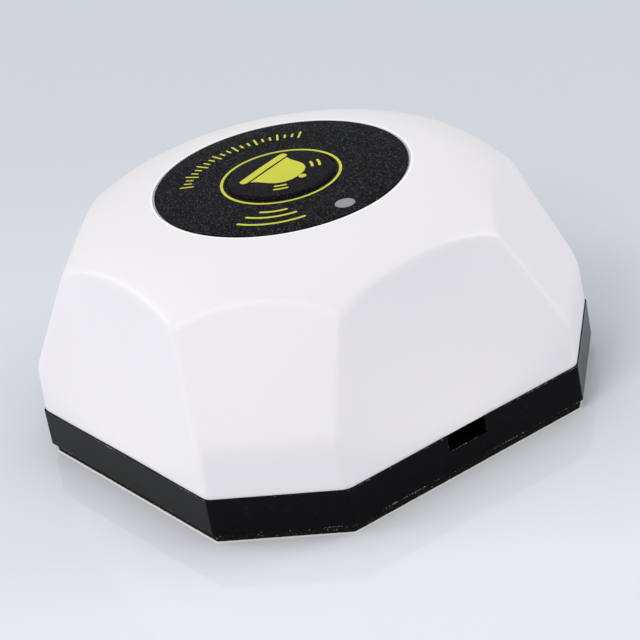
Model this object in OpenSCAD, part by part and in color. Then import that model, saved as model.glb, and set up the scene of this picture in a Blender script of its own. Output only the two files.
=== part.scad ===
// Waiter call button: a white eight-sided dome shell on a black base tray.
// Millimetres, Z up. The origin is the middle of the underside, +Y is the rear,
// where the LED window and the pry notch are.

/* [Body] */
// Width over two opposite long sides
across = 75; // [72:0.5:82]
// Length of each long side
side_len = 44.7; // [42:0.1:47]
// Height of the shell from the base tray's rim to the crown
shell_h = 31.5; // [30:0.5:36]
// Wall of the shell
shell_wall = 2; // [1.6:0.1:2.4]
// Radius of the shell's upright corner edges
corner_r = 2; // [1:0.1:3]

/* [Dome] */
// Radius of the flat middle of the crown
crown_r = 17.7; // [16:0.1:18.5]
// Radius of the shoulder that curves down from the crown
shoulder_r = 27.5; // [26:0.5:29]
// Height of the upright band above the base tray's rim
band_h = 7.55; // [6:0.05:9]
// Draft of the upright band, in degrees
band_draft = 1.5; // [0.5:0.5:2.5]
// Lean of the four corner faces, in degrees from upright
corner_lean = 26; // [22:0.5:29]
// Lean of the four hollow long faces, in degrees from upright
long_lean = 11.5; // [10:0.5:14]
// Radius of the hollow of the long faces
scoop_r = 320; // [250:10:500]

/* [Base tray] */
// Height of the base tray
base_h = 6; // [5:0.5:8]
// Floor of the base tray
base_floor = 1.6; // [1.2:0.1:2]
// Radius of the base tray's upright corner edges
tray_corner_r = 0.5; // [0.4:0.1:1.5]
// How far the base tray stands out round the shell
ledge = 0.15; // [0.1:0.05:0.4]
// Height of the locating lip above the rim
lip_h = 2; // [1.5:0.1:2.5]
// Thickness of the locating lip
lip_t = 1.2; // [1:0.1:1.6]
// Gap between the lip and the shell
lip_gap = 0.25; // [0.15:0.05:0.4]
// Width of the four guide tongues
tongue_w = 9; // [7:0.5:12]
// Thickness of the guide tongues
tongue_t = 1.5; // [1.2:0.1:2]
// Height of the guide tongues above the rim
tongue_h = 5; // [4:0.5:5.5]
// Thickness of the floor ribs
rib_t = 1.2; // [1:0.1:1.6]
// Height of the round floor rib above the floor
rib_h = 2.4; // [1.5:0.1:3]
// Height of the straight floor ribs above the floor
spoke_h = 1.8; // [1:0.1:2.2]
// Radius of the round floor rib
rib_ring_r = 16; // [12:0.5:20]
// Width of the pry notch
notch_w = 7.2; // [5:0.1:9]
// Depth of the pry notch down from the rim
notch_h = 2.6; // [1.5:0.1:3]

/* [Foam pad] */
// Thickness of the foam pad
pad_t = 1.5; // [1:0.1:2.5]
// How far the pad stays inside the base tray's outline
pad_inset = 0.6; // [0.3:0.1:1.5]
// Thickness of the release liner
liner_t = 0.15; // [0.1:0.05:0.3]

/* [Label] */
// Radius of the label film
label_r = 19.8; // [19:0.1:20.2]
// Gap between the label film and the edge of its recess
label_gap = 0.3; // [0.1:0.05:0.4]
// Thickness of the label film
film_t = 0.3; // [0.2:0.05:0.4]
// Thickness of the adhesive under the label film
glue_t = 0.1; // [0.05:0.05:0.15]
// Radius of the LED window
window_r = 1.55; // [1.45:0.05:1.8]
// Distance of the LED window's middle from the label's edge
window_inset = 3.5; // [3:0.1:4.5]

/* [Button] */
// Radius of the foot of the embossed button
button_r = 8.3; // [8:0.1:9]
// Height of the embossed button above the label film
button_h = 0.55; // [0.4:0.05:0.8]
// Radial gap around the button's film
button_gap = 0.15; // [0.1:0.05:0.25]
// Travel of the button
travel = 0.3; // [0.2:0.05:0.4]
// Radius of the cap's retaining flange
flange_r = 10.1; // [9.8:0.1:10.5]
// Thickness of the cap's retaining flange
flange_t = 0.9; // [0.7:0.1:1.2]
// Radius of the post under the cap
post_r = 1.9; // [1.5:0.1:2.2]

/* [Tact switch] */
// Width of the switch housing
switch_w = 6; // [5.5:0.1:6.5]
// Height of the switch housing
switch_h = 3.1; // [2.9:0.1:3.4]
// Thickness of the switch cover
cover_t = 0.3; // [0.2:0.05:0.4]
// Height of the stem above the board
stem_top = 5; // [4.7:0.1:5.5]
// Radius of the stem
stem_r = 1.75; // [1.5:0.05:1.9]
// Radius of the snap dome
snap_r = 2.3; // [2.1:0.05:2.4]
// Thickness of the snap dome
snap_t = 0.12; // [0.1:0.02:0.16]

/* [Circuit board] */
// Radius of the board
board_r = 23; // [22.5:0.1:24]
// Thickness of the board
board_t = 1.6; // [1:0.1:2]
// Distance from the shell's ceiling to the board
board_gap = 7.15; // [7:0.05:8]
// Distance of the screws from the middle
screw_at = 20; // [19.6:0.1:20.4]
// Radius of the screw bosses
boss_r = 2.6; // [2.2:0.1:2.8]
// Radius of the screw shanks
screw_r = 0.95; // [0.8:0.05:1.1]
// Radius of the screw heads
head_r = 1.9; // [1.6:0.1:2.1]
// Height of the screw heads
head_h = 1.3; // [1:0.1:1.6]

/* [Status LED] */
// Radius of the LED
led_r = 1.5; // [1.3:0.05:1.6]
// Height of the LED with its flange
led_h = 5.2; // [4.6:0.1:5.4]
// Radius of the LED's flange
led_flange_r = 1.9; // [1.7:0.05:2]
// Distance between the LED's legs
leg_pitch = 1.8; // [1.6:0.1:2.2]

/* [Antenna] */
// Radius of the coil to the middle of its wire
coil_r = 2.4; // [2:0.1:2.5]
// Diameter of the antenna wire
coil_wire = 0.8; // [0.6:0.05:0.85]
// Turns of the antenna coil
coil_turns = 10; // [6:1:12]
// Distance between the turns
coil_pitch = 1.35; // [1.3:0.05:1.5]
// Distance of the coil from the middle
coil_y = 15; // [14.6:0.1:15.6]

/* [Battery] */
// Radius of the cell over its sleeve
cell_r = 5.15; // [4.9:0.05:5.3]
// Length of the cell with its nub
cell_len = 28.5; // [27.5:0.1:29]
// Thickness of the printed sleeve
sleeve_t = 0.15; // [0.1:0.05:0.25]
// Radius of the cell's nub
nub_r = 2.4; // [2:0.1:2.8]
// Length of the cell's nub
nub_h = 1; // [0.8:0.1:1.4]
// Wall of the battery holder
holder_wall = 1.1; // [0.9:0.1:1.4]
// Gap around the cell in its holder
cell_gap = 0.15; // [0.1:0.05:0.3]
// Length of the finger windows in the battery holder's sides
holder_window = 13; // [8:0.5:16]
// Offset of the battery holder towards the front
holder_y = 2; // [1:0.1:2.6]
// Thickness of the contact plates
plate_t = 0.4; // [0.3:0.05:0.5]
// Length of the pressed contact spring
spring_len = 3.4; // [3.2:0.1:4]
// Diameter of the spring wire
spring_wire = 0.5; // [0.4:0.05:0.55]
// Radius of the spring to the middle of its wire
spring_r = 2.6; // [2.2:0.1:3]
// Turns of the contact spring
spring_turns = 3; // [2:1:3]

/* [Hidden] */
$fn = 96;
big = 200;
eps = 0.01;
// How deep a piece's own features are rooted in one another
root = 0.4;

// Heights of the main planes
base_z = liner_t + pad_t;
rim_z = base_z + base_h;
band_z = rim_z + band_h;
crown_z = rim_z + shell_h;
ceiling_z = crown_z - shell_wall;
label_sink = 0.05;
recess_z = crown_z - label_sink - film_t - glue_t;
film_z = recess_z + glue_t;
board_z = ceiling_z - board_gap;
board_under_z = board_z - board_t;

// The eight-sided outline
half = across / 2;
half_side = side_len / 2;
corner_dist = (half + half_side) / sqrt(2);
shell_half = half - ledge;
shell_corner_dist = corner_dist - ledge;
corner_steps = 4;
band_in = tan(band_draft) * band_h;
sagitta = scoop_r - sqrt(pow(scoop_r, 2) - pow(half_side, 2));
long_turns = [0, 90, 180, 270];
corner_turns = [45, 135, 225, 315];

// The label, the button and the openings under them
fit_gap = 0.1;
window_y = label_r - window_inset;
recess_r = label_r + label_gap;
film_r = button_r + 0.2;
hole_r = film_r + button_gap;
window_hole_r = window_r - 0.3;
cap_r = film_r - 0.2;
flange_top_z = ceiling_z - fit_gap;
flange_z = flange_top_z - flange_t;
collar_r = flange_r + 0.4;
collar_t = 1.2;
collar_h = 1.5;
shroud_r = led_r + 0.2;
shroud_t = 1;
shroud_h = 1.8;

// The tact switch
well_r = snap_r + 0.15;
cover_z = board_z + switch_h;
cover_hole_r = stem_r + 0.08;
stem_flange_h = 0.9;
stem_z = cover_z - stem_flange_h;
snap_h = 2.5 * travel;
well_z = stem_z - snap_h;
snap_ball_r = (pow(snap_r, 2) + pow(snap_h, 2)) / (2 * snap_h);
terminal_w = 0.7;
terminal_t = 0.2;
terminal_pitch = 4.5;
terminal_out = 1.4;

// The screws
pilot_gap = 0.03;
pilot_depth = 6;
board_hole_r = screw_r + 0.25;
shank_len = board_t + pilot_depth - 0.5;

// The LED
led_z = ceiling_z - 0.15 - led_h;
led_flange_h = 0.9;
leg_w = 0.5;
leg_out = 0.9;
leg_hole_r = 0.4;

// The guide ribs beside each tongue
guide_gap = 0.2;
guide_t = 1.2;
guide_z = rim_z + lip_h + 0.3;
guide_top_z = rim_z + tongue_h + 2;
lip_in = ledge + shell_wall + lip_gap;
wall_in = lip_in + lip_t;
guide_in = wall_in + tongue_t;

// The battery
cell_can_r = cell_r - sleeve_t;
pocket_len = 2 * plate_t + spring_len + cell_len;
pocket_r = cell_r + cell_gap;
holder_len = pocket_len + 2 * holder_wall;
holder_w = 2 * (pocket_r + holder_wall);
holder_drop = 1.45 * cell_r;
holder_floor = 1;
cell_z = board_under_z - holder_floor - cell_gap - cell_r;
cell_x = plate_t + spring_len - pocket_len / 2;
plate_w = sqrt(2) * pocket_r - 0.1;

// The coils: rings to a turn, sides of the wire, and the turn where each starts
rings = 8;
wire_sides = 6;
coil_lift = 0.3;
coil_z = board_z + coil_lift + coil_r + coil_wire / 2;
coil_len = coil_turns * coil_pitch;
spring_pitch = (spring_len - spring_wire) / spring_turns;
wire_hole_gap = 0.1;

// Small parts on the board: centre in x and y, of each
resistors = [[-6, 10], [-6, 12.5], [7, -8.5], [10, -8.5], [6.2, 12.5]];
capacitors = [[-8, -8], [-12, -5.5], [14.6, -4], [6.2, 10]];
resistor_size = [1.6, 0.8, 0.45];
capacitor_size = [2, 1.25, 0.8];
chip_at = [-12.5, 3];
chip_size = [3.9, 8.65, 1.5];
chip_lift = 0.15;
chip_lead_pitch = 1.27;
chip_leads_a_side = 7;
chip_lead_size = [1.05, 0.4, 0.2];
can_at = [12.5, 3.5];
can_r = 4.2;
can_h = 3.1;
can_rim_r = 4.6;
can_rim_h = 0.5;
transistor_at = [10.5, -5];
transistor_size = [2.9, 1.3, 1];

// ---------------------------------------------------------------- outline and dome form

// Corners of the eight-sided outline, moved in by inset, in order round the middle
function outline_corners(inset) =
    let (a = half - inset,
         c = corner_dist - inset,
         b = c * sqrt(2) - a)
    [[a, -b], [a, b], [b, a], [-b, a], [-a, b], [-a, -b], [-b, -a], [b, -a]];

// The outline with each corner replaced by an arc of radius r, tangent to both sides
function rounded(points, r) =
    [for (i = [0 : len(points) - 1])
        let (p = points[i],
             u = unit(points[(i + len(points) - 1) % len(points)] - p),
             v = unit(points[(i + 1) % len(points)] - p),
             mid = unit(u + v),
             reach = r / sqrt((1 - u * v) / 2),
             centre = p + mid * reach,
             start = atan2(-(centre - p - u * (u * (centre - p)))[1],
                           -(centre - p - u * (u * (centre - p)))[0]),
             sweep = 45)
        for (k = [0 : corner_steps])
            centre + r * [cos(start + sweep * k / corner_steps),
                          sin(start + sweep * k / corner_steps)]];

function unit(v) = v / norm(v);

// A prism on the outline, moved in by inset; r is the radius of its corners at no inset
module outline_prism(inset, z, h, r) {
    translate([0, 0, z])
        linear_extrude(height = h)
            polygon(rounded(outline_corners(inset), max(r - inset, 0.3)));
}

// Everything outside a plane that stands at dist from the middle at height z and leans in
module outside_plane(turn, dist, z, lean) {
    rotate([0, 0, turn])
        translate([dist, 0, z])
            rotate([0, -lean, 0])
                translate([0, -big / 2, -big / 2])
                    cube(big);
}

// The large cylinder that hollows a long face; its bottom ends meet the band's top
module scoop(turn, inset) {
    rotate([0, 0, turn])
        translate([shell_half - band_in - sagitta, 0, band_z])
            rotate([0, -long_lean, 0])
                translate([scoop_r, 0, -big / 2])
                    cylinder(h = big, r = scoop_r + inset, $fn = 360);
}

// The dome: a flat crown, and a shoulder that is an arc
module dome(inset) {
    rotate_extrude()
        intersection() {
            union() {
                translate([crown_r, crown_z - shoulder_r])
                    circle(r = shoulder_r - inset);
                translate([0, crown_z - shoulder_r])
                    square([crown_r, shoulder_r - inset]);
                square([crown_r + shoulder_r - inset, crown_z - shoulder_r]);
            }
            square([big, big]);
        }
}

// The shell's outer form, or its cavity when moved in by the wall
module shell_form(inset, z) {
    difference() {
        intersection() {
            outline_prism(inset + ledge, z, crown_z - z, corner_r + ledge);
            dome(inset);
        }
        for (turn = long_turns) {
            outside_plane(turn, shell_half - inset, rim_z, band_draft);
            scoop(turn, inset);
        }
        for (turn = corner_turns) {
            outside_plane(turn, shell_corner_dist - inset, rim_z, band_draft);
            outside_plane(turn, shell_corner_dist - band_in - inset / cos(corner_lean), band_z,
                          corner_lean);
        }
    }
}

// ---------------------------------------------------------------- base

module base_tray() {
    color("#1c1c1e")
        difference() {
            union() {
                difference() {
                    union() {
                        outline_prism(0, base_z, base_h, tray_corner_r);
                        outline_prism(lip_in, rim_z - root, lip_h + root, tray_corner_r);
                    }
                    outline_prism(wall_in, base_z + base_floor, big, tray_corner_r);
                }
                floor_ribs();
                for (turn = long_turns)
                    rotate([0, 0, turn])
                        tongue();
            }
            pry_notch();
        }
}

// A round rib with four straight ones, on the floor of the tray
module floor_ribs() {
    translate([0, 0, base_z + base_floor - root]) {
        difference() {
            cylinder(h = rib_h + root, r = rib_ring_r);
            translate([0, 0, -1])
                cylinder(h = rib_h + root + 2, r = rib_ring_r - rib_t);
        }
        for (turn = corner_turns)
            rotate([0, 0, turn])
                translate([rib_ring_r - rib_t / 2, -rib_t / 2, 0])
                    cube([corner_dist - wall_in - rib_ring_r + rib_t / 2 + root, rib_t,
                          spoke_h + root]);
    }
}

// An upright guide with a sloped tip, just inside the lip
module tongue() {
    tip = tongue_t * 0.6;
    foot_z = base_z + base_floor - root;
    top_z = rim_z + tongue_h;
    translate([half - wall_in, tongue_w / 2, 0])
        rotate([90, 0, 0])
            linear_extrude(height = tongue_w)
                polygon([[root, foot_z], [-tongue_t, foot_z], [-tongue_t, top_z],
                         [-tip, top_z], [root, top_z - tip - root]]);
}

module pry_notch() {
    translate([-notch_w / 2, half - lip_in, rim_z - notch_h])
        cube([notch_w, big, notch_h + eps]);
}

module foam_pad() {
    color("#232325")
        outline_prism(pad_inset, liner_t, pad_t, tray_corner_r);
}

module pad_liner() {
    color("#e8e2d2")
        outline_prism(pad_inset, 0, liner_t, tray_corner_r);
}

// ---------------------------------------------------------------- shell

module shell() {
    color("#f2f1f4")
        difference() {
            union() {
                difference() {
                    shell_form(0, rim_z);
                    shell_cavity();
                }
                screw_bosses();
                ceiling_rings();
                for (turn = long_turns)
                    rotate([0, 0, turn])
                        guide_ribs();
            }
            label_recess();
            for (turn = corner_turns)
                rotate([0, 0, turn])
                    translate([screw_at, 0, board_z - eps])
                        cylinder(h = pilot_depth + eps, r = screw_r + pilot_gap);
        }
}

module shell_cavity() {
    shell_form(shell_wall, rim_z - 1);
}

module label_recess() {
    translate([0, 0, recess_z])
        cylinder(h = big, r = recess_r);
    translate([0, 0, ceiling_z - 1])
        cylinder(h = big, r = hole_r);
    translate([0, window_y, ceiling_z - 1])
        cylinder(h = big, r = window_hole_r);
}

module screw_bosses() {
    for (turn = corner_turns)
        rotate([0, 0, turn])
            translate([screw_at, 0, board_z])
                cylinder(h = ceiling_z - board_z + shell_wall / 2, r = boss_r);
}

// The collar that guides the button's cap, and the shroud round the LED
module ceiling_rings() {
    ring(collar_r, collar_t, ceiling_z - collar_h, collar_h + shell_wall / 2);
    translate([0, window_y, 0])
        ring(shroud_r, shroud_t, ceiling_z - shroud_h, shroud_h + eps);
}

module ring(r, t, z, h) {
    translate([0, 0, z])
        difference() {
            cylinder(h = h, r = r + t);
            translate([0, 0, -1])
                cylinder(h = h + 2, r = r);
        }
}

// Two ribs that stand either side of a tongue, joined to the shell's inner wall
module guide_ribs() {
    intersection() {
        shell_form(shell_wall / 2, guide_z);
        for (side = [-1, 1])
            translate([half - guide_in,
                       side * (tongue_w / 2 + guide_gap + guide_t / 2) - guide_t / 2,
                       guide_z])
                cube([guide_in, guide_t, guide_top_z - guide_z]);
    }
}

// ---------------------------------------------------------------- label and button

module label_film() {
    color("#242428")
        translate([0, 0, film_z])
            difference() {
                cylinder(h = film_t, r = label_r);
                translate([0, 0, -1])
                    cylinder(h = film_t + 2, r = hole_r);
                translate([0, window_y, -1])
                    cylinder(h = film_t + 2, r = window_r + 0.02);
            }
}

module label_adhesive() {
    color("#d9d6cc")
        translate([0, 0, recess_z])
            difference() {
                cylinder(h = glue_t, r = label_r);
                translate([0, 0, -1])
                    cylinder(h = glue_t + 2, r = hole_r);
                translate([0, window_y, -1])
                    cylinder(h = glue_t + 2, r = window_r + 0.02);
            }
}

module led_window() {
    color("#b4b4ba")
        translate([0, window_y, recess_z])
            cylinder(h = film_t + glue_t, r = window_r);
}

// Half section of the embossed pillow, moved in by inset; its rolled edge is an arc
module pillow_section(inset, z) {
    edge = button_h;
    intersection() {
        union() {
            translate([button_r - edge, film_z + film_t])
                circle(r = edge - inset);
            translate([0, z])
                square([button_r - edge, film_z + film_t + edge - inset - z]);
            translate([0, z])
                square([button_r - inset, film_z + film_t - z]);
        }
        translate([0, z])
            square([big, big]);
    }
}

module button_film() {
    color("#242428")
        rotate_extrude()
            difference() {
                union() {
                    pillow_section(0, film_z);
                    translate([0, film_z])
                        square([film_r, film_t]);
                }
                pillow_section(film_t, film_z - 1);
            }
}

module button_cap() {
    color("#f0efee")
        rotate_extrude()
            union() {
                pillow_section(film_t, film_z - eps);
                translate([0, flange_z])
                    square([cap_r, film_z - flange_z]);
                translate([0, flange_z])
                    square([flange_r, flange_t]);
                translate([0, board_z + stem_top])
                    square([post_r, flange_z - board_z - stem_top + eps]);
            }
}

// ---------------------------------------------------------------- tact switch

module switch_housing() {
    color("#202022")
        difference() {
            translate([-switch_w / 2, -switch_w / 2, board_z])
                cube([switch_w, switch_w, switch_h]);
            translate([0, 0, well_z])
                cylinder(h = switch_h, r = well_r);
        }
}

// A thin cap of a ball that stands on the floor of the housing's well
module switch_snap_dome() {
    color("#c8ccd0")
        translate([0, 0, well_z])
            difference() {
                intersection() {
                    translate([0, 0, snap_h - snap_ball_r])
                        sphere(r = snap_ball_r);
                    cylinder(h = snap_h + 1, r = snap_r);
                }
                translate([0, 0, snap_h - snap_ball_r])
                    sphere(r = snap_ball_r - snap_t);
            }
}

module switch_stem() {
    color("#3a3a3e")
        union() {
            translate([0, 0, stem_z])
                cylinder(h = stem_flange_h - 0.05, r = well_r - 0.12);
            translate([0, 0, stem_z])
                cylinder(h = board_z + stem_top - stem_z, r = stem_r);
        }
}

module switch_cover() {
    color("#cfd2d6")
        difference() {
            translate([-switch_w / 2, -switch_w / 2, cover_z])
                cube([switch_w, switch_w, cover_t]);
            translate([0, 0, cover_z - 1])
                cylinder(h = cover_t + 2, r = cover_hole_r);
        }
}

module switch_terminals() {
    color("#c9ccce")
        for (x = [-1, 1], y = [-1, 1])
            translate([x > 0 ? switch_w / 2 : -switch_w / 2 - terminal_out,
                       y * terminal_pitch / 2 - terminal_w / 2,
                       board_z])
                cube([terminal_out, terminal_w, terminal_t]);
}

// ---------------------------------------------------------------- circuit board

module circuit_board() {
    color("#1f6b3a")
        translate([0, 0, board_under_z])
            difference() {
                cylinder(h = board_t, r = board_r);
                for (turn = corner_turns)
                    rotate([0, 0, turn])
                        translate([screw_at, 0, -1])
                            cylinder(h = board_t + 2, r = board_hole_r);
                for (x = [-1, 1])
                    translate([x * leg_pitch / 2, window_y, -1])
                        cylinder(h = board_t + 2, r = leg_hole_r);
                for (x = [-1, 1])
                    translate([x * coil_len / 2, -coil_y, -1])
                        cylinder(h = board_t + 2, r = coil_wire / 2 + wire_hole_gap);
            }
}

module board_screws() {
    color("#c3c5c8")
        for (turn = corner_turns)
            rotate([0, 0, turn])
                translate([screw_at, 0, board_under_z])
                    screw();
}

// A pan-head screw, seen from its head at z = 0 upwards into the boss
module screw() {
    slot_w = 0.5;
    slot_len = 2 * head_r * 0.65;
    slot_depth = 0.6;
    difference() {
        union() {
            cylinder(h = shank_len, r = screw_r);
            translate([0, 0, -head_h])
                cylinder(h = head_h, r = head_r);
        }
        for (turn = [0, 90])
            rotate([0, 0, turn])
                translate([-slot_len / 2, -slot_w / 2, -head_h - eps])
                    cube([slot_len, slot_w, slot_depth]);
    }
}

module status_led() {
    color("#e9e4e2")
        translate([0, window_y, led_z])
            union() {
                cylinder(h = led_flange_h, r = led_flange_r);
                cylinder(h = led_h - led_r, r = led_r);
                translate([0, 0, led_h - led_r])
                    sphere(r = led_r);
            }
}

module led_legs() {
    color("#c9ccce")
        for (x = [-1, 1])
            translate([x * leg_pitch / 2 - leg_w / 2, window_y - leg_w / 2,
                       board_under_z - leg_out])
                cube([leg_w, leg_w, led_z - board_under_z + leg_out]);
}

module encoder_chip() {
    color("#26262a")
        translate([chip_at[0] - chip_size[0] / 2, chip_at[1] - chip_size[1] / 2,
                   board_z + chip_lift])
            cube(chip_size);
}

module chip_leads() {
    color("#c9ccce")
        for (side = [-1, 1], i = [0 : chip_leads_a_side - 1])
            translate([chip_at[0] + side * (chip_size[0] + chip_lead_size[0]) / 2
                           - chip_lead_size[0] / 2,
                       chip_at[1] + (i - (chip_leads_a_side - 1) / 2) * chip_lead_pitch
                           - chip_lead_size[1] / 2,
                       board_z])
                chip_lead(side);
}

// A gull-wing lead: a foot on the board, and a shoulder that meets the chip's side
module chip_lead(side) {
    shoulder = 0.4;
    cube(chip_lead_size);
    translate([side > 0 ? 0 : chip_lead_size[0] - shoulder, 0, 0])
        cube([shoulder, chip_lead_size[1], chip_lift + chip_size[2] / 2]);
}

module resonator_can() {
    color("#cdd0d3")
        translate([can_at[0], can_at[1], board_z])
            union() {
                cylinder(h = can_h, r = can_r);
                cylinder(h = can_rim_h, r = can_rim_r);
            }
}

module radio_transistor() {
    color("#2a2a2e")
        translate([transistor_at[0] - transistor_size[0] / 2,
                   transistor_at[1] - transistor_size[1] / 2, board_z])
            cube(transistor_size);
}

module chip_resistors() {
    color("#303036")
        on_board(resistors, resistor_size);
}

module chip_capacitors() {
    color("#b99d78")
        on_board(capacitors, capacitor_size);
}

module on_board(places, size) {
    for (at = places)
        translate([at[0] - size[0] / 2, at[1] - size[1] / 2, board_z])
            cube(size);
}

// ---------------------------------------------------------------- coils

// Points of a coil along X, with rings points to a turn; it starts at its lowest point
function coil_points(r, pitch, turns) =
    [for (i = [0 : turns * rings])
        let (turn = 360 * i / rings)
        [pitch * i / rings, -r * sin(turn), -r * cos(turn)]];

// A closed tube along points, none of whose steps runs along X
function ring_points(points, i, wire) =
    let (last = len(points) - 1,
         along = unit(points[min(i + 1, last)] - points[max(i - 1, 0)]),
         side = unit(cross(along, [1, 0, 0])),
         up = cross(side, along))
    [for (k = [0 : wire_sides - 1])
        let (turn = 360 * k / wire_sides)
        points[i] + wire / 2 * (cos(turn) * side + sin(turn) * up)];

module tube(points, wire) {
    count = len(points);
    skin = [for (i = [0 : count - 1], p = ring_points(points, i, wire)) p];
    sides = [for (i = [0 : count - 2], k = [0 : wire_sides - 1])
        let (next = (k + 1) % wire_sides,
             a = i * wire_sides + k,
             b = i * wire_sides + next)
        each [[a, b, b + wire_sides], [a, b + wire_sides, a + wire_sides]]];
    first = [[for (k = [wire_sides - 1 : -1 : 0]) k]];
    end = [[for (k = [0 : wire_sides - 1]) (count - 1) * wire_sides + k]];
    polyhedron(points = skin, faces = concat(sides, first, end));
}

// Least gap between two places on a wire that are at least half a turn apart
function least_gap(points, wire) =
    min([for (i = [0 : len(points) - 1], j = [i + rings / 2 : 1 : len(points) - 1])
        norm(points[i] - points[j])]) - wire;

antenna_points = concat(
    [[0, 0, board_under_z - 0.5 - coil_z], [0, 0, board_z - coil_z]],
    coil_points(coil_r, coil_pitch, coil_turns),
    [[coil_len, 0, board_z - coil_z], [coil_len, 0, board_under_z - 0.5 - coil_z]]);
spring_points = coil_points(spring_r, spring_pitch, spring_turns);
echo(least_gap_antenna = least_gap(coil_points(coil_r, coil_pitch, coil_turns), coil_wire));
echo(least_gap_spring = least_gap(spring_points, spring_wire));

module antenna_coil() {
    color("#b87333")
        translate([-coil_len / 2, -coil_y, coil_z])
            tube(antenna_points, coil_wire);
}

module contact_spring() {
    color("#c8cbce")
        translate([cell_x - spring_len + spring_wire / 2, -holder_y, cell_z])
            tube(spring_points, spring_wire);
}

// ---------------------------------------------------------------- battery

// A tray that hangs under the board, open below, with a round pocket for the cell
module battery_holder() {
    color("#2b2b2f")
        difference() {
            translate([-holder_len / 2, -holder_y - holder_w / 2, board_under_z - holder_floor
                       - holder_drop])
                cube([holder_len, holder_w, holder_drop + holder_floor]);
            translate([-pocket_len / 2, -holder_y, cell_z])
                rotate([0, 90, 0])
                    cylinder(h = pocket_len, r = pocket_r);
            translate([-pocket_len / 2, -holder_y - pocket_r, cell_z - big])
                cube([pocket_len, 2 * pocket_r, big]);
            translate([-holder_window / 2, -holder_y - holder_w, cell_z - big])
                cube([holder_window, 2 * holder_w, big]);
        }
}

module contact_plates() {
    color("#d2d4d6")
        for (x = [-pocket_len / 2, pocket_len / 2 - plate_t])
            translate([x, -holder_y - plate_w / 2, cell_z - plate_w / 2])
                cube([plate_t, plate_w, plate_w]);
}

module battery_cell() {
    color("#c4c6c9")
        translate([cell_x, -holder_y, cell_z])
            rotate([0, 90, 0])
                union() {
                    cylinder(h = cell_len - nub_h, r = cell_can_r);
                    cylinder(h = cell_len, r = nub_r);
                }
}

module battery_sleeve() {
    sleeve_in = 0.6;
    color("#2f5f8f")
        translate([cell_x + sleeve_in, -holder_y, cell_z])
            rotate([0, 90, 0])
                difference() {
                    cylinder(h = cell_len - nub_h - 2 * sleeve_in, r = cell_r);
                    translate([0, 0, -1])
                        cylinder(h = cell_len, r = cell_can_r);
                }
}

base_tray();
foam_pad();
pad_liner();
shell();
label_film();
label_adhesive();
led_window();
button_film();
button_cap();
switch_housing();
switch_snap_dome();
switch_stem();
switch_cover();
switch_terminals();
circuit_board();
board_screws();
status_led();
led_legs();
encoder_chip();
chip_leads();
resonator_can();
radio_transistor();
chip_resistors();
chip_capacitors();
antenna_coil();
battery_holder();
contact_plates();
contact_spring();
battery_cell();
battery_sleeve();
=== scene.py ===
"""Scene of a waiter call button: a white faceted dome on a black base tray.

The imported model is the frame. The pieces made here stand for its nodes or dress
them, in metres, with +Z up and the LED window and the pry notch at the rear, +Y.
"""

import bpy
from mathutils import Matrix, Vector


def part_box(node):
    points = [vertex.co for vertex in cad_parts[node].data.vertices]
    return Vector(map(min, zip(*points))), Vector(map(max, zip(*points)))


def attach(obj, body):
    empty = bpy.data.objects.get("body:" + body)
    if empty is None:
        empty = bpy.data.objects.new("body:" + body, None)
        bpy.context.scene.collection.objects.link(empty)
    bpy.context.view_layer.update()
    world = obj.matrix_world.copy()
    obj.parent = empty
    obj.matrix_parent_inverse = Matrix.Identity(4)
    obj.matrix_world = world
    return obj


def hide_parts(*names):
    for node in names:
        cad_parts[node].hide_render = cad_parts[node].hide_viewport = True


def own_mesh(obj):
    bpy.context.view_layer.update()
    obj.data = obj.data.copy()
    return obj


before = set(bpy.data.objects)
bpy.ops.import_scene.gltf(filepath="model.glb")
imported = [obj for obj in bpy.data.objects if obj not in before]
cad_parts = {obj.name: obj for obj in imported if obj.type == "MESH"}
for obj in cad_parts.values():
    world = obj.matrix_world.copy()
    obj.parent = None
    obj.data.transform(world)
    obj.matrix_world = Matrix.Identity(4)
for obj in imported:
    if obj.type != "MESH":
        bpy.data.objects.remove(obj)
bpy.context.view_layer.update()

import logging
import math
from dataclasses import dataclass
from enum import Enum
from typing import Callable, Iterable, Sequence

import bmesh
import bpy
import numpy as np
from mathutils import Matrix, Vector

log = logging.getLogger("call_button")
MM = 0.001
TAU = 2 * math.pi
Rgb = tuple[int, int, int]
Point2 = tuple[float, float]
Point3 = tuple[float, float, float]


class Body(Enum):
    """The bodies that the pieces ride on."""

    BASE = "base"
    SHELL = "shell"
    BUTTON = "button"


# ------------------------------------------------------------------ node trees


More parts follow.
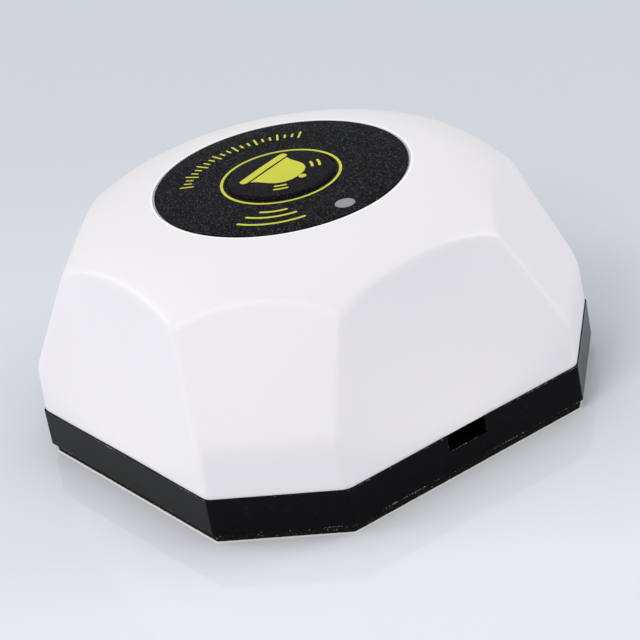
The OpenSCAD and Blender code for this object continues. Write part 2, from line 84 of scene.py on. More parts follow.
class Value:
    """A number in a node tree that can be reckoned with like a float."""

    def __init__(self, tree: bpy.types.NodeTree, socket: bpy.types.NodeSocket) -> None:
        """Keeps the tree and the socket that gives the number."""
        self.tree = tree
        self.socket = socket

    def math(self, operation: str, *terms: object) -> "Value":
        """Adds a Math node.

        Args:
            operation: The node's operation.
            terms: What its inputs take, in order.

        Returns:
            The node's result.
        """
        node = self.tree.nodes.new("ShaderNodeMath")
        node.operation = operation
        for socket, term in zip(node.inputs, terms):
            if isinstance(term, Value):
                self.tree.links.new(term.socket, socket)
            else:
                socket.default_value = float(term)
        return Value(self.tree, node.outputs[0])

    def __add__(self, other: object) -> "Value":
        """Sum."""
        return self.math("ADD", self, other)

    def __radd__(self, other: object) -> "Value":
        """Sum, the other way round."""
        return self.math("ADD", other, self)

    def __sub__(self, other: object) -> "Value":
        """Difference."""
        return self.math("SUBTRACT", self, other)

    def __rsub__(self, other: object) -> "Value":
        """Difference, the other way round."""
        return self.math("SUBTRACT", other, self)

    def __mul__(self, other: object) -> "Value":
        """Product."""
        return self.math("MULTIPLY", self, other)

    def __truediv__(self, other: object) -> "Value":
        """Quotient."""
        return self.math("DIVIDE", self, other)

    def __rtruediv__(self, other: object) -> "Value":
        """Quotient, the other way round."""
        return self.math("DIVIDE", other, self)

    def __mod__(self, other: object) -> "Value":
        """What a division leaves."""
        return self.math("MODULO", self, other)

    def sin(self) -> "Value":
        """Sine of an angle in radians."""
        return self.math("SINE", self)

    def cos(self) -> "Value":
        """Cosine of an angle in radians."""
        return self.math("COSINE", self)

    def root(self) -> "Value":
        """Square root, or 0 for a negative number."""
        return self.math("SQRT", self.math("MAXIMUM", self, 0.0))

    def size(self) -> "Value":
        """The number without its sign."""
        return self.math("ABSOLUTE", self)

    def least(self, other: object) -> "Value":
        """The smaller of two numbers."""
        return self.math("MINIMUM", self, other)

    def most(self, other: object) -> "Value":
        """The larger of two numbers."""
        return self.math("MAXIMUM", self, other)

    def soft_least(self, other: object, blend: object) -> "Value":
        """The smaller of two numbers, rounded off where they are within blend."""
        return self.math("SMOOTH_MIN", self, other, blend)

    def above(self, limit: object) -> "Value":
        """1 where the number is greater than the limit, and 0 elsewhere."""
        return self.math("GREATER_THAN", self, limit)

    def fold(self, limit: float) -> "Value":
        """The number folded back and forth between 0 and the limit."""
        return self.math("PINGPONG", self, limit)

    def ramp(self, low: float, high: float) -> "Value":
        """Rises from 0 at low to 1 at high, and stays within those.

        Args:
            low: Where the rise starts.
            high: Where it ends.

        Returns:
            The share of the way, from 0 to 1.
        """
        node = self.tree.nodes.new("ShaderNodeMapRange")
        self.tree.links.new(self.socket, node.inputs[0])
        node.inputs[1].default_value = low
        node.inputs[2].default_value = high
        return Value(self.tree, node.outputs[0])


class Graph:
    """Adds nodes to a tree and feeds their inputs."""

    def __init__(self, tree: bpy.types.NodeTree) -> None:
        """Keeps the tree."""
        self.tree = tree

    def feed(self, socket: bpy.types.NodeSocket, item: object) -> None:
        """Gives an input a link, or a constant of its own.

        Args:
            socket: The input.
            item: What it takes: a number, a socket, a node or a constant.
        """
        if isinstance(item, Value):
            self.tree.links.new(item.socket, socket)
        elif isinstance(item, bpy.types.NodeSocket):
            self.tree.links.new(item, socket)
        elif isinstance(item, bpy.types.Node):
            self.tree.links.new(item.outputs[0], socket)
        else:
            socket.default_value = item

    def node(self, kind: str, inputs: dict | None = None, **settings: object) -> bpy.types.Node:
        """Adds one node.

        Args:
            kind: Blender's type name of the node.
            inputs: What its inputs take, by name or by number.
            settings: The node's own properties.

        Returns:
            The new node.
        """
        node = self.tree.nodes.new(kind)
        for name, setting in settings.items():
            setattr(node, name, setting)
        for key, item in (inputs or {}).items():
            self.feed(node.inputs[key], item)
        return node

    def value(self, kind: str, inputs: dict | None = None, output: int | str = 0,
              **settings: object) -> Value:
        """Adds a node and gives one of its results as a number.

        Args:
            kind: Blender's type name of the node.
            inputs: What its inputs take, by name or by number.
            output: Which of its results is meant.
            settings: The node's own properties.

        Returns:
            The result.
        """
        node = self.node(kind, inputs, **settings)
        return Value(self.tree, node.outputs[output])

    def parts(self, vector: object) -> tuple[Value, ...]:
        """The three numbers of a vector."""
        split = self.node("ShaderNodeSeparateXYZ", {0: vector})
        return tuple(Value(self.tree, number) for number in split.outputs)

    def vector(self, x: object, y: object, z: object = 0.0) -> bpy.types.Node:
        """A vector of three numbers."""
        return self.node("ShaderNodeCombineXYZ", {0: x, 1: y, 2: z})


class ShapeTree(Graph):
    """A Geometry Nodes tree with named sizes, that ends in one material."""

    def __init__(self, name: str, sizes: dict[str, float]) -> None:
        """Makes the tree and its inputs.

        Args:
            name: What the tree makes.
            sizes: Each size's name and its usual value.
        """
        super().__init__(bpy.data.node_groups.new(name, "GeometryNodeTree"))
        sockets = self.tree.interface
        sockets.new_socket("Geometry", in_out="INPUT", socket_type="NodeSocketGeometry")
        for size, usual in sizes.items():
            socket = sockets.new_socket(size, in_out="INPUT", socket_type="NodeSocketFloat")
            socket.default_value = usual
        sockets.new_socket("Finish", in_out="INPUT", socket_type="NodeSocketMaterial")
        sockets.new_socket("Geometry", in_out="OUTPUT", socket_type="NodeSocketGeometry")
        self.start = self.node("NodeGroupInput")
        self.seed = self.start.outputs["Geometry"]
        self.sizes = sizes

    def of(self, size: str) -> Value:
        """One of the named sizes."""
        return Value(self.tree, self.start.outputs[size])

    def attribute(self, name: str) -> Value:
        """A number that the mesh carries at each of its points."""
        return self.value("GeometryNodeInputNamedAttribute", {"Name": name},
                          data_type="FLOAT")

    def end(self, geometry: object) -> None:
        """Realizes instances, gives the finish and closes the tree.

        Args:
            geometry: What the tree has made.
        """
        whole = self.node("GeometryNodeRealizeInstances", {0: geometry})
        dressed = self.node("GeometryNodeSetMaterial",
                            {"Geometry": whole, "Material": self.start.outputs["Finish"]})
        self.node("NodeGroupOutput", {0: dressed})

    def repeat_round(self, piece: object, count: int, height: object = 0.0,
                     scale: object = (1.0, 1.0, 1.0)) -> None:
        """Ends the tree with copies of a piece on an arc round the middle.

        The arc comes from the tree's sizes Distance, First turn and Step.

        Args:
            piece: The geometry that is repeated.
            count: How many copies there are.
            height: How high they stand.
            scale: Their scale along their own axes.
        """
        turn = self.value("GeometryNodeInputIndex") * self.of("Step") + self.of("First turn")
        distance = self.of("Distance")
        spots = self.node("GeometryNodeSetPosition", {
            "Geometry": self.node("GeometryNodePoints", {"Count": count}),
            "Position": self.vector(turn.cos() * distance, turn.sin() * distance, height)})
        self.end(self.node("GeometryNodeInstanceOnPoints", {
            "Points": spots, "Instance": piece, "Scale": scale,
            "Rotation": self.vector(0.0, 0.0, turn)}))

    def grow(self, seed: bpy.types.Object, finish: bpy.types.Material,
             smooth: float | None = None) -> bpy.types.Object:
        """Runs the tree on an object that isn't in the scene yet, and keeps a plain mesh.

        Args:
            seed: The object whose mesh the tree starts from.
            finish: The material that the result gets.
            smooth: Degrees above which an edge stays sharp, or None for flat faces.

        Returns:
            The same object, with the grown mesh and no modifier.
        """
        modifier = seed.modifiers.new(self.tree.name, "NODES")
        modifier.node_group = self.tree
        for item in self.tree.interface.items_tree:
            if item.item_type == "SOCKET" and item.in_out == "INPUT":
                if item.name == "Finish":
                    modifier[item.identifier] = finish
                elif item.name in self.sizes:
                    modifier[item.identifier] = float(self.sizes[item.name])
        bpy.context.scene.collection.objects.link(seed)
        state = bpy.context.evaluated_depsgraph_get()
        mesh = bpy.data.meshes.new_from_object(seed.evaluated_get(state))
        seed.modifiers.remove(modifier)
        old, seed.data = seed.data, mesh
        bpy.data.meshes.remove(old)
        for name in [a.name for a in mesh.attributes if a.name.startswith("net_")]:
            mesh.attributes.remove(mesh.attributes[name])
        shade(mesh, smooth)
        return seed


# ------------------------------------------------------------------ meshes


def shade(mesh: bpy.types.Mesh, smooth: float | None) -> None:
    """Smooths a mesh's faces, apart from edges sharper than the given degrees.

    Args:
        mesh: The mesh.
        smooth: The degrees, or None for flat faces.
    """
    if smooth is None:
        mesh.shade_flat()
    else:
        mesh.shade_smooth()
        mesh.set_sharp_from_angle(angle=math.radians(smooth))


def new_object(name: str, points: np.ndarray, faces: Iterable[Sequence[int]]) -> bpy.types.Object:
    """Makes an object of points in millimetres, outside the scene so far.

    Args:
        name: The object's name.
        points: Its points, in millimetres.
        faces: The points of each face, by number.

    Returns:
        The object.
    """
    mesh = bpy.data.meshes.new(name)
    mesh.from_pydata((np.asarray(points, float) * MM).tolist(), [], list(faces))
    mesh.validate()
    return bpy.data.objects.new(name, mesh)


def carry(seed: bpy.types.Object, name: str, numbers: np.ndarray) -> None:
    """Lets each point of a mesh carry a number or a vector.

    Args:
        seed: The object of the mesh.
        name: Name of the attribute.
        numbers: One number for each point, or a row of three.
    """
    kind, key = ("FLOAT", "value") if numbers.ndim == 1 else ("FLOAT_VECTOR", "vector")
    layer = seed.data.attributes.new(name, kind, "POINT")
    layer.data.foreach_set(key, numbers.astype(np.float32).ravel())


def net_faces(rows: int, columns: int, closed_rows: bool) -> list[tuple[int, ...]]:
    """Faces of a net of rows, each a closed loop of columns points.

    Args:
        rows: Number of rows.
        columns: Points in a row.
        closed_rows: Whether the last row joins the first one.

    Returns:
        Quads that face outwards where the rows climb and the columns run anticlockwise.
    """
    faces = []
    for row in range(rows if closed_rows else rows - 1):
        below, above = row * columns, (row + 1) % rows * columns
        for k in range(columns):
            after = (k + 1) % columns
            faces.append((below + k, below + after, above + after, above + k))
    return faces


def rings(profile: Sequence[Point2], steps: int, centre: Point2 = (0.0, 0.0)) -> np.ndarray:
    """Level circles of points round an upright axis.

    Args:
        profile: (radius, height) of each circle.
        steps: Points in a circle.
        centre: Where the axis stands.

    Returns:
        The points, circle by circle, each anticlockwise from +X.
    """
    turn = np.arange(steps) * TAU / steps
    return np.concatenate([np.column_stack([
        centre[0] + r * np.cos(turn), centre[1] + r * np.sin(turn), np.full(steps, z)])
        for r, z in profile])


def turned(name: str, outline: Sequence[Point2], steps: int = 128,
           centre: Point2 = (0.0, 0.0)) -> bpy.types.Object:
    """A body of revolution from a closed half section.

    Args:
        name: The piece's name.
        outline: (radius, height) round the section, anticlockwise seen with the radius
            to the right.
        steps: Points round the axis.
        centre: Where the axis stands.

    Returns:
        The object, with points on the axis merged.
    """
    made = new_object(name, rings(outline, steps, centre),
                      net_faces(len(outline), steps, True))
    work = bmesh.new()
    work.from_mesh(made.data)
    bmesh.ops.remove_doubles(work, verts=work.verts, dist=1e-7)
    bmesh.ops.dissolve_degenerate(work, edges=work.edges, dist=1e-8)
    bmesh.ops.recalc_face_normals(work, faces=work.faces)
    work.to_mesh(made.data)
    work.free()
    return made


def prism(name: str, outlines: Sequence[Sequence[Point2]], low: float,
          high: float) -> bpy.types.Object:
    """Upright prisms on anticlockwise outlines, as one object.

    Args:
        name: The piece's name.
        outlines: The outline of each prism.
        low: Height of the undersides.
        high: Height of the tops.

    Returns:
        The object.
    """
    points: list[Point3] = []
    faces: list[tuple[int, ...]] = []
    for outline in outlines:
        first, count = len(points), len(outline)
        points += [(x, y, low) for x, y in outline] + [(x, y, high) for x, y in outline]
        faces.append(tuple(reversed(range(first, first + count))))
        faces.append(tuple(range(first + count, first + 2 * count)))
        for k in range(count):
            after = (k + 1) % count
            faces.append((first + k, first + after, first + count + after, first + count + k))
    return new_object(name, np.array(points), faces)


def disc(centre: Point2, radius: float, steps: int = 48) -> list[Point2]:
    """Outline of a disc."""
    return [(centre[0] + radius * math.cos(TAU * k / steps),
             centre[1] + radius * math.sin(TAU * k / steps)) for k in range(steps)]


def stroke(path: Sequence[Point2], width: float, ends: int = 8) -> list[Point2]:
    """Outline of a line of even width with round ends.

    Args:
        path: Points that the line follows.
        width: Its width.
        ends: Steps in each round end.

    Returns:
        The anticlockwise outline.
    """
    line = np.array(path, float)
    along = np.gradient(line, axis=0)
    along /= np.linalg.norm(along, axis=1)[:, None]
    side = np.stack([along[:, 1], -along[:, 0]], axis=1) * width / 2
    caps = []
    for at, out, over in ((line[-1], along[-1], side[-1]), (line[0], -along[0], -side[0])):
        turns = [math.pi * k / ends for k in range(1, ends)]
        caps.append([at + math.cos(t) * over + math.sin(t) * out * width / 2 for t in turns])
    rim = [*(line + side), *caps[0], *(line - side)[::-1], *caps[1]]
    return [(float(x), float(y)) for x, y in rim]


def arc(centre: Point2, radius: float, first: float, last: float,
        steps: int = 24) -> list[Point2]:
    """Points on an arc between two angles in degrees.

    Args:
        centre: Middle of the arc.
        radius: Its radius.
        first: Where it starts.
        last: Where it ends.
        steps: How many points it has.

    Returns:
        The points in order.
    """
    turns = np.radians(np.linspace(first, last, steps))
    return [(centre[0] + radius * math.cos(t), centre[1] + radius * math.sin(t)) for t in turns]


def place(piece: bpy.types.Object, body: Body, slot: str, finish: bpy.types.Material | None,
          replaces: Sequence[str] = (), smooth: float | None = None) -> bpy.types.Object:
    """Puts a finished piece in the scene and says what it is.

    Args:
        piece: The object, at the origin.
        body: The body that it rides on.
        slot: The slot that its finish belongs to. It is not used.
        finish: Its material, or None where the mesh already has it.
        replaces: The CAD nodes that it stands for.
        smooth: Degrees above which an edge stays sharp, or None to leave its faces.

    Returns:
        The piece.
    """
    if finish is not None:
        piece.data.materials.clear()
        piece.data.materials.append(finish)
    if smooth is not None:
        shade(piece.data, smooth)
    if piece.name not in bpy.context.scene.collection.objects:
        bpy.context.scene.collection.objects.link(piece)
    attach(piece, body.value)
    if replaces:
        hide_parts(*replaces)
    log.info("%s: %d faces on %s", piece.name, len(piece.data.polygons), body.value)
    return piece


def dress(node: str, finish: bpy.types.Material) -> None:
    """Gives a CAD node's object its material.

    Args:
        node: Name of the CAD node.
        finish: Its material.
    """
    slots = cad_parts[node].material_slots
    if not slots:
        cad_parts[node].data.materials.append(finish)
    for slot in slots:
        slot.material = finish
    log.info("%s: dressed in %s", node, finish.name)


# ------------------------------------------------------------------ finishes


def linear(colour: Rgb) -> tuple[float, float, float, float]:
    """A colour on the 0 to 255 scale of a screen, as a shader takes it.

    Args:
        colour: Red, green and blue.

    Returns:
        The linear parts, and an alpha of 1.
    """
    parts = [c / 255 for c in colour]
    flat = [c / 12.92 if c <= 0.04045 else ((c + 0.055) / 1.055) ** 2.4 for c in parts]
    return (*flat, 1.0)


@dataclass(frozen=True)
class Finish:
    """A surface with a fine grain and broad, faint patches."""

    name: str
    colour: Rgb
    shade: Rgb
    grain: float = 0.3
    grain_part: float = 0.5
    patch: float = 12.0
    patch_part: float = 0.5
    roughness: float = 0.4
    roughness_spread: float = 0.08
    metallic: float = 0.0
    specular: float = 0.5
    bump: float = 0.05
    bump_depth: float = 0.02
    roughness_least: float = 0.03
    coat: float = 0.0
    coat_roughness: float = 0.12
    transmission: float = 0.0
    subsurface: float = 0.0
    subsurface_reach: Point3 = (1.0, 0.9, 0.8)
    subsurface_depth: float = 1.2
    sheen: float = 0.0

    def noise(self, graph: Graph, size: float, detail: float = 3.0,
              seed: float = 0.0) -> Value:
        """Soft noise whose spots are about size millimetres across.

        Args:
            graph: The material's tree.
            size: Width of a spot.
            detail: How many finer layers it has.
            seed: Which pattern it is.

        Returns:
            The noise, about 0.5 on average.
        """
        place_node = graph.node("ShaderNodeTexCoord")
        return graph.value("ShaderNodeTexNoise",
                           {"Vector": place_node.outputs["Object"], "W": seed,
                            "Scale": 1.0 / (size * MM), "Detail": detail},
                           noise_dimensions="4D")

    def spot(self, graph: Graph) -> tuple[Value, Value, Value]:
        """The place on the object, in millimetres."""
        place_node = graph.node("ShaderNodeTexCoord")
        return tuple(part * (1 / MM) for part in graph.parts(place_node.outputs["Object"]))

    def mix(self, graph: Graph, part: Value, low: object, high: object) -> bpy.types.NodeSocket:
        """A colour between two, by a number from 0 to 1.

        Args:
            graph: The material's tree.
            part: How much of the second colour shows.
            low: The first colour.
            high: The second colour.

        Returns:
            The mixed colour.
        """
        node = graph.node("ShaderNodeMix", {0: part, 6: low, 7: high}, data_type="RGBA")
        return node.outputs[2]

    def colours(self, graph: Graph) -> bpy.types.NodeSocket:
        """The colour over the surface.

        Args:
            graph: The material's tree.

        Returns:
            The colour.
        """
        fine = self.noise(graph, self.grain) - 0.5
        broad = self.noise(graph, self.patch, 2.0, 3.0) - 0.5
        part = (fine * (2 * self.grain_part) + broad * (2 * self.patch_part) + 0.5).ramp(0, 1)
        return self.mix(graph, part, linear(self.colour), linear(self.shade))

    def height(self, graph: Graph) -> Value:
        """The relief of the surface, from 0 to 1."""
        return self.noise(graph, self.grain, 2.0, 1.0)

    def gloss(self, graph: Graph) -> Value:
        """The roughness over the surface.

        Args:
            graph: The material's tree.

        Returns:
            The roughness, from 0 to 1.
        """
        worn = self.noise(graph, self.patch / 3, 3.0, 7.0) - 0.5
        return (worn * (2 * self.roughness_spread) + self.roughness).most(
            self.roughness_least)

    def build(self) -> bpy.types.Material:
        """Makes the material.

        Returns:
            The node material, ready for any piece.
        """
        material = bpy.data.materials.new(self.name)
        material.use_nodes = True
        tree = material.node_tree
        tree.nodes.clear()
        graph = Graph(tree)
        bump = graph.node("ShaderNodeBump", {"Strength": self.bump,
                                             "Distance": self.bump_depth * MM,
                                             "Height": self.height(graph)})
        shader = graph.node("ShaderNodeBsdfPrincipled", {
            "Base Color": self.colours(graph), "Roughness": self.gloss(graph),
            "Metallic": self.metallic, "Specular IOR Level": self.specular,
            "Coat Weight": self.coat, "Coat Roughness": self.coat_roughness,
            "Transmission Weight": self.transmission, "Sheen Weight": self.sheen,
            "Normal": bump})
        if self.subsurface:
            shader.inputs["Subsurface Weight"].default_value = self.subsurface
            shader.inputs["Subsurface Radius"].default_value = self.subsurface_reach
            shader.inputs["Subsurface Scale"].default_value = self.subsurface_depth * MM
        graph.node("ShaderNodeOutputMaterial", {"Surface": shader})
        return material


@dataclass(frozen=True)
class SpeckledFilm(Finish):
    """Dark textured film with painted glints: tiny paler points where its grain catches the
    light.
    """

    fleck: Rgb = (92, 92, 100)
    fleck_size: float = 0.22
    fleck_level: float = 0.54
    fleck_fade: float = 0.2
    fleck_part: float = 0.8

    def colours(self, graph: Graph) -> bpy.types.NodeSocket:
        """Charcoal with closely scattered paler points, painted as glints of the grain.

        Args:
            graph: The material's tree.

        Returns:
            The colour.
        """
        ground = super().colours(graph)
        # Painted highlight: the paler points stand for glints of the film's grain.
        points = self.noise(graph, self.fleck_size, 1.0, 5.0)
        part = points.ramp(self.fleck_level, self.fleck_level + self.fleck_fade)
        return self.mix(graph, part * self.fleck_part, ground, linear(self.fleck))


@dataclass(frozen=True)
class GlintLinedPlastic(Finish):
    """White moulding with a painted highlight: a thin brighter line above its rim and round its
    label recess.
    """

    bright: Rgb = (253, 254, 255)
    rim: float = 7.65
    rim_reach: float = 0.3
    rim_full: float = 0.7
    recess_r: float = 20.1
    recess_reach: float = 0.3
    recess_full: float = 0.6
    crown_from: float = 38.0

    def colours(self, graph: Graph) -> bpy.types.NodeSocket:
        """White, with a painted highlight just above the rim and round the recess.

        Args:
            graph: The material's tree.

        Returns:
            The colour.
        """
        ground = super().colours(graph)
        x, y, z = self.spot(graph)
        # Painted highlight: a thin brighter line just above the rim, and round the recess's lip
        # on the crown.
        low = 1.0 - (z - self.rim).ramp(self.rim_reach * self.rim_full, self.rim_reach)
        off = ((x * x + y * y).root() - self.recess_r - self.recess_reach / 2).size()
        ring = 1.0 - off.ramp(self.recess_reach * self.recess_full, self.recess_reach)
        part = (low + ring * z.above(self.crown_from)).least(1.0)
        return self.mix(graph, part, ground, linear(self.bright))


@dataclass(frozen=True)
class ChippedPlastic(Finish):
    """Black moulding with faint scuffs, and pale chips along its edges and its notch."""

    chip: Rgb = (150, 150, 152)
    scuff: Rgb = (58, 58, 61)
    scuff_size: float = 0.9
    scuff_levels: Point2 = (0.6, 0.74)
    scuff_part: float = 0.07
    edges: tuple[float, ...] = (1.65, 7.65)
    notch_half: float = 3.6
    notch_low: float = 5.05
    notch_face: float = 35.0
    outer_face: float = 36.2
    reach: float = 0.3
    far: float = 9.0
    chip_size: float = 0.26
    group_size: float = 7.0
    near_part: float = 0.4
    group_part: float = 0.9
    chip_levels: Point2 = (1.38, 1.46)

    def nearness(self, x: Value, y: Value, z: Value) -> Value:
        """How near a place is to an edge of the tray or of its notch.

        Args:
            x: Place across the tray, in millimetres.
            y: Place from front to rear.
            z: Height.

        Returns:
            1 on an edge, and 0 from the reach on.
        """
        uprights = ((x.size() - self.notch_half).size()
                    + (1.0 - z.above(self.notch_low)) * self.far)
        sill = ((z - self.notch_low).size()
                + (x.size() - self.notch_half).above(0.0) * self.far)
        near = ((1.0 - (uprights.least(sill) / self.reach).least(1.0))
                * y.above(self.notch_face))
        for edge in self.edges:
            near = near.most(1.0 - ((z - edge).size() / self.reach).least(1.0))
        return near

    def colours(self, graph: Graph) -> bpy.types.NodeSocket:
        """Black with scuffs, and with chips near the edges of the outer faces.

        Args:
            graph: The material's tree.

        Returns:
            The colour.
        """
        ground = super().colours(graph)
        scratched = self.noise(graph, self.scuff_size, 4.0, 11.0).ramp(*self.scuff_levels)
        ground = self.mix(graph, scratched * self.scuff_part, ground, linear(self.scuff))
        x, y, z = self.spot(graph)
        near = self.nearness(x, y, z)
        broken = self.noise(graph, self.chip_size, 3.0, 21.0)
        groups = self.noise(graph, self.group_size, 2.0, 23.0)
        normal = graph.node("ShaderNodeNewGeometry").outputs["Normal"]
        east, north, _ = graph.parts(normal)
        outside = (x * east + y * north).above(self.outer_face)
        part = (near * self.near_part + broken + groups * self.group_part).ramp(
            *self.chip_levels)
        return self.mix(graph, part * outside * near.above(0.01), ground, linear(self.chip))


@dataclass(frozen=True)
class FoamCells(Finish):
    """Open-cell foam with dark pores, greyer walls and a little pale lint."""

    pore: float = 0.28
    wall: Rgb = (34, 34, 36)
    wall_levels: Point2 = (0.35, 0.7)
    lint: Rgb = (176, 172, 168)
    lint_size: float = 0.3
    lint_levels: Point2 = (0.7, 0.74)

    def cells(self, graph: Graph) -> Value:
        """Distance from the middle of the nearest pore.

        Args:
            graph: The material's tree.

        Returns:
            The distance, in widths of a pore.
        """
        place_node = graph.node("ShaderNodeTexCoord")
        return graph.value("ShaderNodeTexVoronoi",
                           {"Vector": place_node.outputs["Object"],
                            "Scale": 1.0 / (self.pore * MM)}, output="Distance")

    def colours(self, graph: Graph) -> bpy.types.NodeSocket:
        """Black cells with greyer walls, and specks of lint.

        Args:
            graph: The material's tree.

        Returns:
            The colour.
        """
        walls = self.cells(graph).ramp(*self.wall_levels)
        foam = self.mix(graph, walls, super().colours(graph), linear(self.wall))
        lint = self.noise(graph, self.lint_size, 1.0, 41.0).ramp(*self.lint_levels)
        return self.mix(graph, lint, foam, linear(self.lint))

    def height(self, graph: Graph) -> Value:
        """The walls stand up between the pores."""
        return self.cells(graph)


@dataclass(frozen=True)
class Laminate(Finish):
    """Green board with a faint weave and slightly raised conductors under its mask."""

    trace: Rgb = (52, 128, 74)
    pitch: float = 2.54
    trace_edge: Point2 = (0.10, 0.13)
    lane_size: float = 7.0
    lane_levels: Point2 = (0.46, 0.5)
    run_size: float = 5.0
    run_levels: Point2 = (0.44, 0.46)

    def tracks(self, graph: Graph) -> Value:
        """Where a conductor runs: straight lines that now and then change lane.

        Args:
            graph: The material's tree.

        Returns:
            1 on a conductor, and 0 between them.
        """
        x, y, _ = self.spot(graph)
        lane = self.noise(graph, self.lane_size, 0.0, 31.0).ramp(*self.lane_levels)
        across = ((x * lane + y * (1.0 - lane)) / self.pitch).fold(0.5)
        line = 1.0 - across.ramp(*self.trace_edge)
        return line * self.noise(graph, self.run_size, 0.0, 33.0).ramp(*self.run_levels)

    def colours(self, graph: Graph) -> bpy.types.NodeSocket:
        """Mask green, paler over the conductors."""
        return self.mix(graph, self.tracks(graph), super().colours(graph), linear(self.trace))

    def height(self, graph: Graph) -> Value:
        """The conductors stand up a little."""
        return self.tracks(graph) * 0.8 + super().height(graph) * 0.2


@dataclass(frozen=True)
class BandedSleeve(Finish):
    """Printed battery sleeve: one colour with a plain band at one end."""

    band: Rgb = (196, 160, 72)
    band_start: float = 8.0
    band_edge: float = 0.05

    def colours(self, graph: Graph) -> bpy.types.NodeSocket:
        """Blue, then a gold band past its start along X.

        Args:
            graph: The material's tree.

        Returns:
            The colour.
        """
        x, _, _ = self.spot(graph)
        part = x.ramp(self.band_start, self.band_start + self.band_edge)
        return self.mix(graph, part, super().colours(graph), linear(self.band))


@dataclass(frozen=True)
class DrawnMetal(Finish):
    """Metal with fine lines along one direction."""

    stretch: Point3 = (1.0, 14.0, 14.0)
    line_length: float = 6.0

    def lines(self, graph: Graph, seed: float) -> Value:
        """Noise drawn out along the lines.

        Args:
            graph: The material's tree.
            seed: Which pattern it is.

        Returns:
            The noise, about 0.5 on average.
        """
        place_node = graph.node("ShaderNodeTexCoord")
        drawn = graph.node("ShaderNodeMapping", {"Vector": place_node.outputs["Object"],
                                                 "Scale": self.stretch})
        scale = 1.0 / (self.line_length * self.grain * MM)
        return graph.value("ShaderNodeTexNoise", {"Vector": drawn, "W": seed, "Scale": scale,
                                                  "Detail": 3.0}, noise_dimensions="4D")

    def height(self, graph: Graph) -> Value:
        """Shallow drawn lines."""
        return self.lines(graph, 2.0)

    def gloss(self, graph: Graph) -> Value:
        """Duller along some of the lines."""
        return ((self.lines(graph, 4.0) - 0.5) * (2 * self.roughness_spread)
                + self.roughness).most(0.05)


Palette = dict[str, bpy.types.Material]

